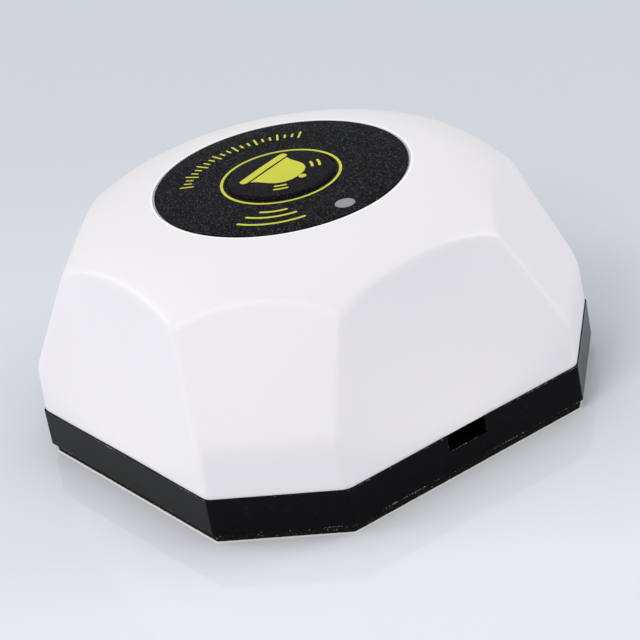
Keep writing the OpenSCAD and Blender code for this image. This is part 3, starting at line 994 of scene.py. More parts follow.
# Every finish of the call button, under the name that the sub-assemblies use.
FINISHES: dict[str, Finish] = {
    "shell": GlintLinedPlastic(
        "milky_white_moulding", (241, 238, 240), (237, 234, 236), grain=0.16, grain_part=0.35,
        patch=22.0, roughness=0.36, roughness_spread=0.05, bump=0.06, bump_depth=0.012,
        subsurface=0.12),
    "base": ChippedPlastic(
        "black_tray_moulding", (3, 3, 5), (6, 6, 8), grain=0.25, patch=9.0, roughness=0.22,
        specular=0.075, bump=0.12, bump_depth=0.02),
    "foam": FoamCells(
        "black_foam", (8, 8, 9), (15, 14, 15), roughness=0.9, specular=0.1, bump=0.8,
        bump_depth=0.15),
    "paper": Finish(
        "pale_release_paper", (250, 243, 238), (244, 236, 230), grain=0.2, patch=6.0,
        roughness=0.75, bump=0.15),
    "film": SpeckledFilm(
        "charcoal_label_film", (5, 5, 7), (12, 12, 15), grain=0.2, patch=14.0, patch_part=0.2,
        roughness=0.55, specular=0.04, bump=0.35, bump_depth=0.03),
    "pillow": SpeckledFilm(
        "charcoal_button_film", (6, 6, 8), (14, 14, 17), fleck=(60, 60, 66), grain=0.2,
        patch=9.0, patch_part=0.2, roughness=0.45, specular=0.04, bump=0.3, bump_depth=0.03),
    "ink": Finish(
        "yellow_green_ink", (212, 213, 56), (198, 200, 46), grain=0.22, patch=5.0,
        roughness=0.55, bump=0.25, bump_depth=0.01),
    "adhesive": Finish(
        "clear_adhesive", (214, 211, 202), (198, 194, 184), grain=0.5, roughness=0.3,
        bump=0.2),
    "window": Finish(
        "frosted_led_window", (152, 152, 157), (140, 140, 146), grain=0.3, patch=2.0,
        patch_part=0.15, roughness=0.4, specular=0.2, bump=0.05, subsurface=0.2),
    "cap": Finish(
        "natural_white_moulding", (230, 229, 224), (221, 219, 212), grain=0.2, roughness=0.42,
        bump=0.08),
    "switch": Finish(
        "black_switch_moulding", (30, 30, 32), (42, 42, 44), grain=0.12, patch=3.0,
        roughness=0.48, bump=0.2),
    "steel": DrawnMetal(
        "nickel_plated_steel", (200, 202, 206), (176, 178, 182), grain=0.1, patch=4.0,
        roughness=0.24, metallic=1.0, bump=0.12, bump_depth=0.01),
    "tin": DrawnMetal(
        "tinned_lead", (206, 207, 209), (178, 179, 182), grain=0.08, patch=3.0, roughness=0.3,
        metallic=1.0, bump=0.15, bump_depth=0.01),
    "solder": Finish(
        "bright_solder", (196, 197, 199), (160, 161, 164), grain=0.2, patch=1.5,
        roughness=0.22, roughness_spread=0.12, metallic=1.0, bump=0.2, bump_depth=0.03),
    "board": Laminate(
        "green_laminate", (24, 84, 44), (19, 72, 38), grain=0.18, patch=10.0, roughness=0.34,
        bump=0.3, bump_depth=0.03, coat=0.3),
    "led": Finish(
        "water_clear_resin", (226, 224, 222), (206, 202, 200), grain=0.6, patch=2.0,
        roughness=0.12, bump=0.02, transmission=0.4),
    "chip": Finish(
        "moulded_chip_resin", (36, 36, 38), (50, 50, 52), grain=0.08, patch=2.5,
        roughness=0.62, bump=0.3, bump_depth=0.01),
    "resistor": Finish(
        "glazed_black_ceramic", (24, 24, 27), (44, 44, 50), grain=0.1, patch=1.0,
        roughness=0.25, bump=0.1),
    "capacitor": Finish(
        "tan_ceramic", (176, 148, 112), (158, 130, 96), grain=0.1, patch=1.2, roughness=0.5,
        bump=0.15),
    "copper": DrawnMetal(
        "enamelled_copper_wire", (186, 98, 48), (156, 76, 36), grain=0.1, patch=3.0,
        roughness=0.26, metallic=1.0, bump=0.05, coat=0.6),
    "holder": Finish(
        "black_holder_moulding", (34, 34, 37), (46, 46, 49), grain=0.2, patch=7.0,
        roughness=0.45, bump=0.15),
    "can": DrawnMetal(
        "drawn_cell_steel", (192, 194, 198), (168, 170, 174), grain=0.1, patch=5.0,
        roughness=0.28, metallic=1.0, bump=0.1, bump_depth=0.01),
    "sleeve": BandedSleeve(
        "printed_battery_sleeve", (32, 66, 122), (26, 56, 108), grain=0.3, patch=8.0,
        roughness=0.3, coat=0.4, bump=0.05),
}


# ------------------------------------------------------------------ shared sizes


@dataclass(frozen=True)
class Outline:
    """The eight-sided outline, in millimetres."""

    half: float = 37.5
    half_side: float = 22.35
    ledge: float = 0.15

    @property
    def corner_dist(self) -> float:
        """Distance of the four diagonal sides from the middle."""
        return (self.half + self.half_side) / math.sqrt(2)

    def loop(self, inset: float, radius: float, steps: int, spacing: float) -> np.ndarray:
        """Points round the outline, with rounded corners.

        Args:
            inset: How far the loop stays inside the outline.
            radius: Radius of the corners.
            steps: Steps in each corner.
            spacing: Longest step along a side.

        Returns:
            The points, anticlockwise from the +X side.
        """
        half, dist = self.half - inset, self.corner_dist - inset
        side = dist * math.sqrt(2) - half
        corners = np.array([(half, -side), (half, side), (side, half), (-side, half),
                            (-half, side), (-half, -side), (-side, -half), (side, -half)])
        turn = 360.0 / len(corners)
        curve = []
        for k, corner in enumerate(corners):
            before = corners[k - 1] - corner
            after = corners[(k + 1) % len(corners)] - corner
            before, after = before / np.linalg.norm(before), after / np.linalg.norm(after)
            middle = (before + after) / np.linalg.norm(before + after)
            centre = corner + middle * radius / math.cos(math.radians(turn / 2))
            first = math.degrees(math.atan2(-middle[1], -middle[0])) - turn / 2
            curve += [np.array(point)
                      for point in arc(centre, radius, first, first + turn, steps + 1)]
        points = []
        for k, start in enumerate(curve):
            stop = curve[(k + 1) % len(curve)]
            parts = max(1, math.ceil(np.linalg.norm(stop - start) / spacing))
            points += [start + (stop - start) * p / parts for p in range(parts)]
        return np.array(points)


@dataclass(frozen=True)
class Heights:
    """Heights of the main planes, in millimetres."""

    liner: float = 0.15
    base: float = 1.65
    rim: float = 7.65
    band: float = 15.2
    board_under: float = 28.4
    board: float = 30.0
    ceiling: float = 37.15
    recess: float = 38.7
    film: float = 38.8
    film_top: float = 39.1
    crown: float = 39.15
    button_top: float = 39.65


OUTLINE = Outline()
LEVEL = Heights()


# ------------------------------------------------------------------ shell


@dataclass
class NetRow:
    """One loop of the shell's net: a ray that meets the form, or a fixed circle."""

    origin: float = 0.0
    elevation: float = 0.0
    wall: float = 0.0
    fixed: Point2 | None = None

    @property
    def start(self) -> Point2:
        """Radius and height of the loop before its rays are sent out."""
        return self.fixed or (OUTLINE.half, self.origin)


@dataclass(frozen=True)
class Tube:
    """An upright tube with a bevel round its lower outer edge."""

    name: str
    inner: float
    outer: float
    low: float
    high: float
    bevel: Point2
    steps: int
    centre: Point2 = (0.0, 0.0)

    def build(self) -> bpy.types.Object:
        """Turns the tube round its axis.

        Returns:
            The tube.
        """
        across, up = self.bevel
        return turned(self.name, [
            (self.inner, self.low), (self.outer - across, self.low), (self.outer, self.low + up),
            (self.outer, self.high), (self.inner, self.high)], self.steps, self.centre)


@dataclass
class ShellHousing:
    """The white moulding: an eight-sided band under a dome with eight faces cut in it."""

    wall: float = 2.0
    band_draft: float = 1.5
    corner_lean: float = 26.0
    long_lean: float = 11.3
    scoop_r: float = 230.0
    hollow_middle: float = 21.0
    hollow_reach: float = 13.0
    hollow_half: float = 20.0
    hollow_bulge: float = 1.5
    crown_r: float = 17.7
    shoulder_r: float = 27.5
    recess_r: float = 20.1
    hole_r: float = 8.65
    floor_r: float = 14.0
    floor_rise: float = 0.15
    roof_r: float = 11.0
    ceiling_r: float = 13.0
    ridge_blend: float = 0.6
    band_blend: float = 1.0
    band_fade: float = 0.3
    arch_blend: float = 0.6
    corner_blend: float = 1.0
    long_blend: float = 1.0
    # Least slopes, so that a ray that grazes a face is not divided by nothing.
    plane_slope: float = 0.001
    scoop_slope: float = 0.02
    crown_slope: float = 0.0001
    lip: float = 0.1
    rim_round: float = 0.2
    columns: int = 720
    band_rows: int = 16
    upper_rows: int = 60
    inner_rows: int = 20
    skirt_rows: int = 4
    boss_bore: float = 0.98
    boss_r: float = 2.6
    boss_deep: float = 35.9
    boss_top: float = 38.0
    boss_distance: float = 20.0
    rib_gap: float = 5.3
    rib_half: float = 0.6
    rib_reach: float = 3.9
    rib_low: float = 9.95
    rib_high: float = 14.65
    rib_distance: float = 34.75
    collar: Tube = Tube("cap_collar", inner=10.5, outer=11.7, low=35.65, high=37.6,
                        bevel=(0.15, 0.15), steps=96)
    shroud: Tube = Tube("led_shroud", inner=1.7, outer=2.7, low=35.35, high=37.3,
                        bevel=(0.1, 0.15), steps=48, centre=(0.0, 16.3))

    def tree(self) -> ShapeTree:
        """The rule of the form: from each point of the net a ray meets the nearest face.

        Returns:
            The closed tree.
        """
        band_in = math.tan(math.radians(self.band_draft)) * (LEVEL.band - LEVEL.rim)
        sagitta = self.scoop_r - math.sqrt(self.scoop_r ** 2 - OUTLINE.half_side ** 2)
        tree = ShapeTree("dome_with_eight_faces", {
            "Half width": OUTLINE.half - OUTLINE.ledge,
            "Corner distance": OUTLINE.corner_dist - OUTLINE.ledge,
            "Rim height": LEVEL.rim, "Band top": LEVEL.band,
            "Band draft": math.radians(self.band_draft),
            "Corner lean": math.radians(self.corner_lean),
            "Long lean": math.radians(self.long_lean), "Scoop radius": self.scoop_r,
            "Crown radius": self.crown_r, "Shoulder radius": self.shoulder_r,
            "Crown height": LEVEL.crown, "Band inset": band_in, "Hollow depth": sagitta,
            "Hollow middle": self.hollow_middle, "Hollow reach": self.hollow_reach,
            "Hollow half": self.hollow_half, "Hollow bulge": self.hollow_bulge,
            "Ridge blend": self.ridge_blend, "Band ridge blend": self.band_blend,
            "Arch blend": self.arch_blend,
            "Corner blend": self.corner_blend, "Long blend": self.long_blend,
            "Millimetre": MM})
        heading, elevation = tree.attribute("net_heading"), tree.attribute("net_elevation")
        origin, wall = tree.attribute("net_origin"), tree.attribute("net_wall")
        level, rise = elevation.cos(), elevation.sin()
        east, north = heading.cos() * level, heading.sin() * level
        ahead = east.size().most(north.size())
        aside = east.size().least(north.size())
        diagonal = (east.size() + north.size()) * math.sqrt(0.5)

        def plane(out: Value, distance: Value, height: Value, lean: Value) -> Value:
            """Length of the ray to a leaning face through (distance, height)."""
            near = (distance * lean.cos() + (height - origin) * lean.sin()) - wall
            return near / (out * lean.cos() + rise * lean.sin()).most(self.plane_slope)

        # The band's upright faces, and the four flat corner faces.
        half, corner = tree.of("Half width"), tree.of("Corner distance")
        rim, band = tree.of("Rim height"), tree.of("Band top")
        draft, inset = tree.of("Band draft"), tree.of("Band inset")
        band_long = plane(ahead, half, rim, draft)
        band_corner = plane(diagonal, corner, rim, draft)
        face = plane(diagonal, corner - inset, band, tree.of("Corner lean"))

        # The four long faces: a wide cylinder with a shallow dish sunk into it.
        lean, radius = tree.of("Long lean"), tree.of("Scoop radius")
        foot = half - inset - tree.of("Hollow depth")
        start = (band - origin) * lean.sin() + foot * lean.cos() + radius
        toward = (ahead * lean.cos() + rise * lean.sin()).most(self.scoop_slope)
        spread = toward * toward + aside * aside
        reach = radius + wall
        inside = start * start * toward * toward - spread * (start * start - reach * reach)
        bare = (start * toward - inside.root()) / spread
        lift = (origin + rise * bare - tree.of("Hollow middle")) / tree.of("Hollow reach")
        across = aside * bare / tree.of("Hollow half")
        dip = (1.0 - lift * lift).most(0.0) * (1.0 - across * across).most(0.0)
        scoop = bare - dip * tree.of("Hollow bulge") / toward

        # The dome: a flat crown that rolls over into the shoulder.
        ring, bow = tree.of("Crown radius"), tree.of("Shoulder radius")
        drop = origin - (tree.of("Crown height") - bow)
        middle = ring * level - drop * rise
        solid = bow - wall
        shoulder = middle + (middle * middle - (ring * ring + drop * drop
                                                - solid * solid)).root()
        crown = (tree.of("Crown height") - wall - origin) / rise.most(self.crown_slope)
        on_flat = 1.0 - (crown * level).above(ring)
        dome = crown * on_flat + shoulder * (1.0 - on_flat)

        # They meet in soft ridges, and the nearest of them is the surface.
        long_side = band_long.soft_least(scoop, tree.of("Long blend"))
        corner_side = band_corner.soft_least(face, tree.of("Corner blend"))
        at_band = 1.0 - rise.ramp(0.0, self.band_fade)
        ridge = tree.of("Ridge blend") + at_band * (tree.of("Band ridge blend")
                                                    - tree.of("Ridge blend"))
        sides = long_side.soft_least(corner_side, ridge)
        ray = sides.soft_least(dome, tree.of("Arch blend")) * tree.of("Millimetre")
        met = tree.vector(east * ray, north * ray,
                          rise * ray + origin * tree.of("Millimetre"))
        free = tree.node("FunctionNodeCompare",
                         {0: tree.attribute("net_fixed"), 1: 0.5},
                         data_type="FLOAT", operation="LESS_THAN")
        tree.end(tree.node("GeometryNodeSetPosition", {
            "Geometry": tree.seed, "Selection": free, "Position": met}))
        return tree

    def rows(self) -> list[NetRow]:
        """The loops of the closed net: up the outside, through the hole, down the inside.

        Returns:
            The loops in order, of which the last joins the first.
        """
        # The rim and the recess's lip are rounded in steps, as shares of their sizes.
        soft, lip = self.rim_round, self.lip
        lip_r, edge = self.recess_r + lip, self.edge_height()
        rise = math.atan2(edge - LEVEL.band, lip_r)
        inner = math.atan2(LEVEL.ceiling - LEVEL.band, self.ceiling_r)
        rows = [NetRow(LEVEL.rim, wall=soft), NetRow(LEVEL.rim + 0.3 * soft, wall=0.3 * soft),
                NetRow(LEVEL.rim + soft)]
        rows += [NetRow(z)
                 for z in np.linspace(LEVEL.rim + 3 * soft, LEVEL.band, self.band_rows)]
        rows += [NetRow(LEVEL.band, e)
                 for e in np.linspace(0, rise, self.upper_rows + 1)[1:]]
        rows += [NetRow(fixed=at) for at in (
            (lip_r - 0.6 * lip, edge + 0.04 * lip),
            (self.recess_r + 0.2 * lip, edge - 0.3 * lip), (self.recess_r, edge - lip),
            (self.recess_r, LEVEL.recess + self.floor_rise), (self.recess_r, LEVEL.recess),
            (self.floor_r, LEVEL.recess), (self.hole_r, LEVEL.recess),
            (self.hole_r, LEVEL.ceiling), (self.roof_r, LEVEL.ceiling))]
        rows += [NetRow(LEVEL.band, e, self.wall)
                 for e in np.linspace(inner, 0, self.inner_rows)]
        rows += [NetRow(z, 0.0, self.wall)
                 for z in np.linspace(LEVEL.band, LEVEL.rim, self.skirt_rows + 1)[1:]]
        return rows

    def edge_height(self) -> float:
        """Height of the dome where the recess's lip starts."""
        past = self.recess_r + self.lip - self.crown_r
        return LEVEL.crown - self.shoulder_r + math.sqrt(self.shoulder_r ** 2 - past ** 2)

    def build_wall(self, finish: bpy.types.Material) -> bpy.types.Object:
        """Grows the closed wall of the shell.

        Args:
            finish: Its material.

        Returns:
            The wall.
        """
        rows = self.rows()
        turn = np.arange(self.columns) * TAU / self.columns
        seed = new_object("shell_wall", rings([row.start for row in rows], self.columns),
                          net_faces(len(rows), self.columns, True))
        carry(seed, "net_heading", np.tile(turn, len(rows)))
        numbers = {"net_elevation": [row.elevation for row in rows],
                   "net_origin": [row.origin for row in rows],
                   "net_wall": [row.wall for row in rows],
                   "net_fixed": [float(row.fixed is not None) for row in rows]}
        for name, each in numbers.items():
            carry(seed, name, np.repeat(each, self.columns))
        return self.tree().grow(seed, finish, smooth=32)

    def build_bosses(self, finish: bpy.types.Material) -> bpy.types.Object:
        """Grows the four hollow bosses that take the board's screws.

        Args:
            finish: Its material.

        Returns:
            The bosses, as one object.
        """
        section = [(self.boss_bore, LEVEL.board), (self.boss_r, LEVEL.board),
                   (self.boss_r, self.boss_top), (0.0, self.boss_top),
                   (0.0, self.boss_deep), (self.boss_bore, self.boss_deep)]
        tree = self.four_round("four_bosses", self.boss_distance, 45.0)
        return tree.grow(turned("screw_bosses", section, 40), finish, smooth=40)

    def build_ribs(self, finish: bpy.types.Material) -> bpy.types.Object:
        """Grows the four pairs of guide ribs on the inner wall.

        Args:
            finish: Its material.

        Returns:
            The ribs, as one object.
        """
        pair = [[(-self.rib_reach, middle - self.rib_half), (0.0, middle - self.rib_half),
                 (0.0, middle + self.rib_half), (-self.rib_reach, middle + self.rib_half)]
                for middle in (-self.rib_gap, self.rib_gap)]
        tree = self.four_round("four_pairs_of_ribs", self.rib_distance, 0.0)
        return tree.grow(prism("guide_ribs", pair, self.rib_low, self.rib_high), finish)

    @staticmethod
    def four_round(name: str, distance: float, first: float) -> ShapeTree:
        """The rule that sets a piece four times round the middle.

        Args:
            name: What the tree makes.
            distance: How far out each piece stands.
            first: Degrees from +X to the first one.

        Returns:
            The closed tree.
        """
        tree = ShapeTree(name, {"Distance": distance * MM,
                                "First turn": math.radians(first), "Step": TAU / 4})
        tree.repeat_round(tree.seed, 4)
        return tree

    def build(self, palette: Palette) -> None:
        """Builds the shell with all that is moulded on its inside.

        Args:
            palette: The finishes.
        """
        finish = palette["shell"]
        place(self.build_wall(finish), Body.SHELL, "shell_plastic", None, ["shell"])
        place(self.build_bosses(finish), Body.SHELL, "shell_plastic", None)
        place(self.build_ribs(finish), Body.SHELL, "shell_plastic", None)
        for tube in (self.collar, self.shroud):
            place(tube.build(), Body.SHELL, "shell_plastic", finish, smooth=40)


# ------------------------------------------------------------------ base


@dataclass
class BaseAssembly:
    """The black tray, the foam pad under it and the pad's release liner."""

    pad_inset: float = 0.6
    pad_corner: float = 0.5
    flat_part: float = 0.97
    edge_depth: float = 0.22
    edge_rows: int = 7
    spacing: float = 0.35
    tear_size: float = 0.55
    tear_shift: float = 0.12
    tear_gain: float = 1.6
    seed: float = 4.0

    def pad_tree(self) -> ShapeTree:
        """The rule of the cut edge: its points go in and out by a noise.

        Returns:
            The closed tree.
        """
        tree = ShapeTree("torn_foam_edge", {"Depth": self.edge_depth * MM,
                                            "Cell": self.tear_size * MM, "Seed": self.seed})
        cells = tree.value("ShaderNodeTexNoise", {
            "W": tree.of("Seed"), "Scale": 1.0 / tree.of("Cell"), "Detail": 3.0,
            "Roughness": 0.7}, noise_dimensions="4D")
        flat = tree.node("ShaderNodeVectorMath", {
            0: tree.node("GeometryNodeInputPosition"), 1: (1.0, 1.0, 0.0)},
            operation="MULTIPLY")
        out = tree.node("ShaderNodeVectorMath", {0: flat}, operation="NORMALIZE")
        amount = (self.tear_shift - cells) * tree.of("Depth") * self.tear_gain
        shift = tree.node("ShaderNodeVectorMath",
                          {0: out, "Scale": amount * tree.attribute("net_edge")},
                          operation="SCALE")
        tree.end(tree.node("GeometryNodeSetPosition",
                           {"Geometry": tree.seed, "Offset": shift}))
        return tree

    def build_pad(self, finish: bpy.types.Material) -> bpy.types.Object:
        """Grows the foam pad with its rough cut edge.

        Args:
            finish: Its material.

        Returns:
            The pad.
        """
        loop = OUTLINE.loop(self.pad_inset, self.pad_corner, 3, self.spacing)
        count = len(loop)
        levels = np.linspace(LEVEL.liner, LEVEL.base, self.edge_rows)
        loops = [(self.flat_part, levels[0]), *((1.0, z) for z in levels),
                 (self.flat_part, levels[-1])]
        points = np.concatenate([np.column_stack([loop * part, np.full(count, z)])
                                 for part, z in loops])
        rows = len(loops)
        faces = net_faces(rows, count, False)
        faces.append(tuple(reversed(range(count))))
        faces.append(tuple(range((rows - 1) * count, rows * count)))
        seed = new_object("foam_cushion", points, faces)
        edge = np.ones(rows)
        edge[[0, -1]] = 0.0
        carry(seed, "net_edge", np.repeat(edge, count))
        return self.pad_tree().grow(seed, finish, smooth=60)

    def build(self, palette: Palette) -> None:
        """Dresses the tray and the liner, and builds the pad between them.

        Args:
            palette: The finishes.
        """
        dress("base_tray", palette["base"])
        dress("pad_liner", palette["paper"])
        pad = place(self.build_pad(palette["foam"]), Body.BASE, "foam", None, ["foam_pad"])


# ------------------------------------------------------------------ label


@dataclass
class LabelPrint:
    """The label film in its recess, and what is printed on it."""

    radius: float = 19.8
    hole_r: float = 8.65
    middle_r: float = 14.0
    roll: float = 0.1
    ring_in: float = 9.05
    ring_out: float = 9.5
    window_y: float = 16.3
    window_r: float = 1.57
    ink: float = 0.012
    line: float = 0.5
    signal_centre: Point2 = (3.6, 3.6)
    signal_radii: tuple[float, ...] = (7.1, 8.95, 11.2)
    signal_spans: tuple[Point2, ...] = ((34.5, 66.0), (23.5, 73.0), (22.5, 76.0))
    tick_radius: float = 14.8
    tick_count: int = 22
    tick_length: float = 1.3
    tick_width: float = 0.34
    tick_round: float = 0.45
    tick_span: Point2 = (222.0, 318.0)
    long_every: int = 3
    long_extra: float = 0.75

    def build_film(self) -> bpy.types.Object:
        """The film, with a softly rolled rim; the button and the window stand in its holes.

        Returns:
            The film, which is in the scene already.
        """
        top, low, edge = LEVEL.film_top, LEVEL.film, self.roll
        rim = [(self.radius - edge + edge * math.sin(t), top - edge + edge * math.cos(t))
               for t in np.linspace(0, math.pi / 2, 5)]
        section = [(self.hole_r, low), (self.radius - 0.2 * edge, low), *reversed(rim),
                   (self.middle_r, top), (self.hole_r, top)]
        film = turned("printed_film", section, 192)
        cutter = prism("window_cutter", [disc((0.0, self.window_y), self.window_r)],
                       low - 1, top + 1)
        for piece in (film, cutter):
            bpy.context.scene.collection.objects.link(piece)
        cut = film.modifiers.new("window", "BOOLEAN")
        cut.operation, cut.solver, cut.object = "DIFFERENCE", "EXACT", cutter
        state = bpy.context.evaluated_depsgraph_get()
        mesh = bpy.data.meshes.new_from_object(film.evaluated_get(state))
        film.modifiers.remove(cut)
        old, film.data = film.data, mesh
        bpy.data.meshes.remove(old)
        bpy.data.objects.remove(cutter)
        return film

    def tick_tree(self) -> ShapeTree:
        """The rule of the row of ticks: one rounded bar, repeated along an arc.

        Returns:
            The closed tree.
        """
        first, last = (math.radians(a) for a in self.tick_span)
        tree = ShapeTree("row_of_ticks", {
            "Distance": self.tick_radius * MM, "First turn": first,
            "Step": (last - first) / (self.tick_count - 1),
            "Length": self.tick_length * MM, "Width": self.tick_width * MM,
            "Height": LEVEL.film_top * MM, "Ink": self.ink * MM})
        shape = tree.node("GeometryNodeCurvePrimitiveQuadrilateral", {
            "Width": tree.of("Length"), "Height": tree.of("Width")})
        rounded = tree.node("GeometryNodeFilletCurve", {
            "Curve": shape, "Radius": tree.of("Width") * self.tick_round, "Count": 5},
            mode="POLY")
        path = tree.node("GeometryNodeCurvePrimitiveLine", {
            "End": tree.vector(0.0, 0.0, tree.of("Ink"))})
        bar = tree.node("GeometryNodeCurveToMesh", {
            "Curve": path, "Profile Curve": rounded, "Fill Caps": True})
        after_long = tree.value("GeometryNodeInputIndex") % self.long_every
        long = 1.0 - after_long.above(0.5)
        tree.repeat_round(bar, self.tick_count, tree.of("Height"),
                          tree.vector(1.0 + long * self.long_extra, 1.0, 1.0))
        return tree

    def build(self, palette: Palette) -> None:
        """Builds the film, its ring, signal arcs and ticks, and dresses the window.

        Args:
            palette: The finishes.
        """
        place(self.build_film(), Body.SHELL, "label_print", palette["film"], ["label_film"],
              smooth=30)
        dress("label_adhesive", palette["adhesive"])
        dress("led_window", palette["window"])
        low, top = LEVEL.film_top, LEVEL.film_top + self.ink
        ring = turned("printed_ring", [(self.ring_in, low), (self.ring_out, low),
                                       (self.ring_out, top), (self.ring_in, top)], 160)
        place(ring, Body.SHELL, "label_print", palette["ink"], smooth=30)
        arcs = [stroke(arc(self.signal_centre, r, *span), self.line)
                for r, span in zip(self.signal_radii, self.signal_spans)]
        place(prism("printed_signal_arcs", arcs, low, top), Body.SHELL, "label_print",
              palette["ink"])
        seed = new_object("printed_ticks", np.zeros((0, 3)), [])
        place(self.tick_tree().grow(seed, palette["ink"]), Body.SHELL, "label_print", None)


@dataclass
class PushButton:
    """The embossed part of the film, its print and the cap under it."""

    foot_r: float = 8.3
    flange_r: float = 8.5
    edge: float = 0.55
    foot_round: float = 0.05
    flat_r: float = 4.0
    film: float = 0.3
    sink: float = 0.03
    ink: float = 0.02
    tilt: float = 15.0
    bell_at: Point2 = (-0.2, -0.9)
    bell_side: tuple[Point2, ...] = ((0.0, 4.2), (1.5, 4.0), (2.7, 3.35), (3.5, 2.3),
                                     (3.85, 1.1), (4.0, 0.0), (4.2, -1.0), (4.55, -1.85))
    lip_line: tuple[Point2, ...] = ((-4.8, -2.9), (0.0, -3.0), (4.8, -2.9))
    lip_width: float = 1.4
    knob_y: float = 4.85
    knob_r: float = 0.62
    mark_y: float = 0.2
    mark_radii: tuple[float, ...] = (5.2, 6.35)
    mark_span: Point2 = (40.0, 58.0)
    mark_width: float = 0.42

    def build_film(self) -> bpy.types.Object:
        """The embossed pillow with its rolled edge.

        Returns:
            The film.
        """
        top = LEVEL.button_top - self.sink
        low, rim = LEVEL.film, LEVEL.film_top
        flat = self.foot_r - self.edge
        outer = [(flat + self.edge * math.cos(t), rim + (top - rim) * math.sin(t))
                 for t in np.linspace(0, math.pi / 2, 14)]
        inner_edge = self.edge - self.film
        inner = [(flat + inner_edge * math.cos(t), rim + (top - self.film - rim) * math.sin(t))
                 for t in np.linspace(math.pi / 2, 0, 10)]
        section = [(self.flange_r, low), (self.flange_r, rim - self.foot_round),
                   (self.flange_r - self.foot_round, rim), *outer, (self.flat_r, top),
                   (0.0, top), (0.0, top - self.film), *inner, (flat + inner_edge, low)]
        return turned("embossed_button_film", section, 160)

    def bell(self) -> list[list[Point2]]:
        """Outlines of a plain bell: its body, lip, knob and ringing marks.

        Returns:
            The outlines, turned and moved to their place.
        """
        body = [*((-x, y) for x, y in self.bell_side[1:]), *reversed(self.bell_side)]
        shapes = [body, stroke(self.lip_line, self.lip_width),
                  disc((0.0, self.knob_y), self.knob_r, 20)]
        for side in (-1, 1):
            for reach in self.mark_radii:
                span = sorted(90 - side * turn for turn in self.mark_span)
                shapes.append(stroke(arc((0.0, self.mark_y), reach, *span, 9),
                                     self.mark_width))
        turn = math.radians(self.tilt)
        cos, sin = math.cos(turn), math.sin(turn)
        return [[(self.bell_at[0] + x * cos - y * sin, self.bell_at[1] + x * sin + y * cos)
                 for x, y in shape] for shape in shapes]

    def build(self, palette: Palette) -> None:
        """Builds the button film and its print, and dresses the cap.

        Args:
            palette: The finishes.
        """
        place(self.build_film(), Body.BUTTON, "label_print", palette["pillow"],
              ["button_film"], smooth=35)
        dress("button_cap", palette["cap"])
        low = LEVEL.button_top - self.sink
        place(prism("printed_bell", self.bell(), low, low + self.ink), Body.BUTTON,
              "label_print", palette["ink"])


# ------------------------------------------------------------------ electronics


@dataclass
class TactSwitch:
    """The switch that the cap presses."""

    well_z: float = 31.45
    rise: float = 0.75
    radius: float = 2.3
    thick: float = 0.12
    foot_part: float = 0.955
    pressed: float = 0.6

    def build_snap_dome(self) -> bpy.types.Object:
        """The thin domed contact, as a cap of a ball.

        Returns:
            The dome.
        """
        ball = (self.radius ** 2 + self.rise ** 2) / (2 * self.rise)
        lean = math.asin(self.radius / ball)
        centre = self.well_z + self.rise - ball
        outer = [(ball * math.sin(t), centre + ball * math.cos(t))
                 for t in np.linspace(lean, 0, 12)]
        inner_r = ball - self.thick
        inner = [(inner_r * math.sin(t), centre + inner_r * math.cos(t))
                 for t in np.linspace(0, lean * self.foot_part, 12)]
        return turned("snap_dome", [*outer, *inner], 64)

    def build(self, palette: Palette) -> None:
        """Dresses the switch and builds the snap dome under its stem.

        Args:
            palette: The finishes.
        """
        dress("switch_housing", palette["switch"])
        dress("switch_stem", palette["switch"])
        dress("switch_cover", palette["steel"])
        dress("switch_terminals", palette["tin"])
        dome = place(self.build_snap_dome(), Body.SHELL, "contact_steel", palette["steel"],
                     ["switch_snap_dome"], smooth=30)
        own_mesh(dome)


@dataclass(frozen=True)
class Wire:
    """A round wire wound along X."""

    name: str
    radius: float
    pitch: float
    turns: int
    wire: float
    start: Point3
    legs: tuple[float, ...] = ()
    rings: int = 28
    sides: int = 12

    def path(self) -> np.ndarray:
        """Points along the wire, from its lowest point.

        Returns:
            The points, in millimetres.
        """
        x, y, z = self.start
        coil = [(x + self.pitch * k / self.rings,
                 y - self.radius * math.sin(TAU * k / self.rings),
                 z - self.radius * math.cos(TAU * k / self.rings))
                for k in range(self.turns * self.rings + 1)]
        if self.legs:
            end = x + self.pitch * self.turns
            coil = [*((x, y, low) for low in self.legs), *coil,
                    *((end, y, low) for low in reversed(self.legs))]
        return np.array(coil)

    def grow(self, finish: bpy.types.Material) -> bpy.types.Object:
        """Grows the wire along its path.

        Args:
            finish: Its material.

        Returns:
            The wire.
        """
        points = self.path()
        mesh = bpy.data.meshes.new(self.name)
        mesh.from_pydata((points * MM).tolist(),
                         [(k, k + 1) for k in range(len(points) - 1)], [])
        seed = bpy.data.objects.new(self.name, mesh)
        tree = ShapeTree(self.name + "_winding", {"Wire": self.wire / 2 * MM})
        curve = tree.node("GeometryNodeMeshToCurve", {0: tree.seed})
        round_wire = tree.node("GeometryNodeCurvePrimitiveCircle", {
            "Resolution": self.sides, "Radius": tree.of("Wire")})
        tube = tree.node("GeometryNodeCurveToMesh", {
            "Curve": curve, "Profile Curve": round_wire, "Fill Caps": True})
        tree.end(tube)
        return tree.grow(seed, finish, smooth=50)


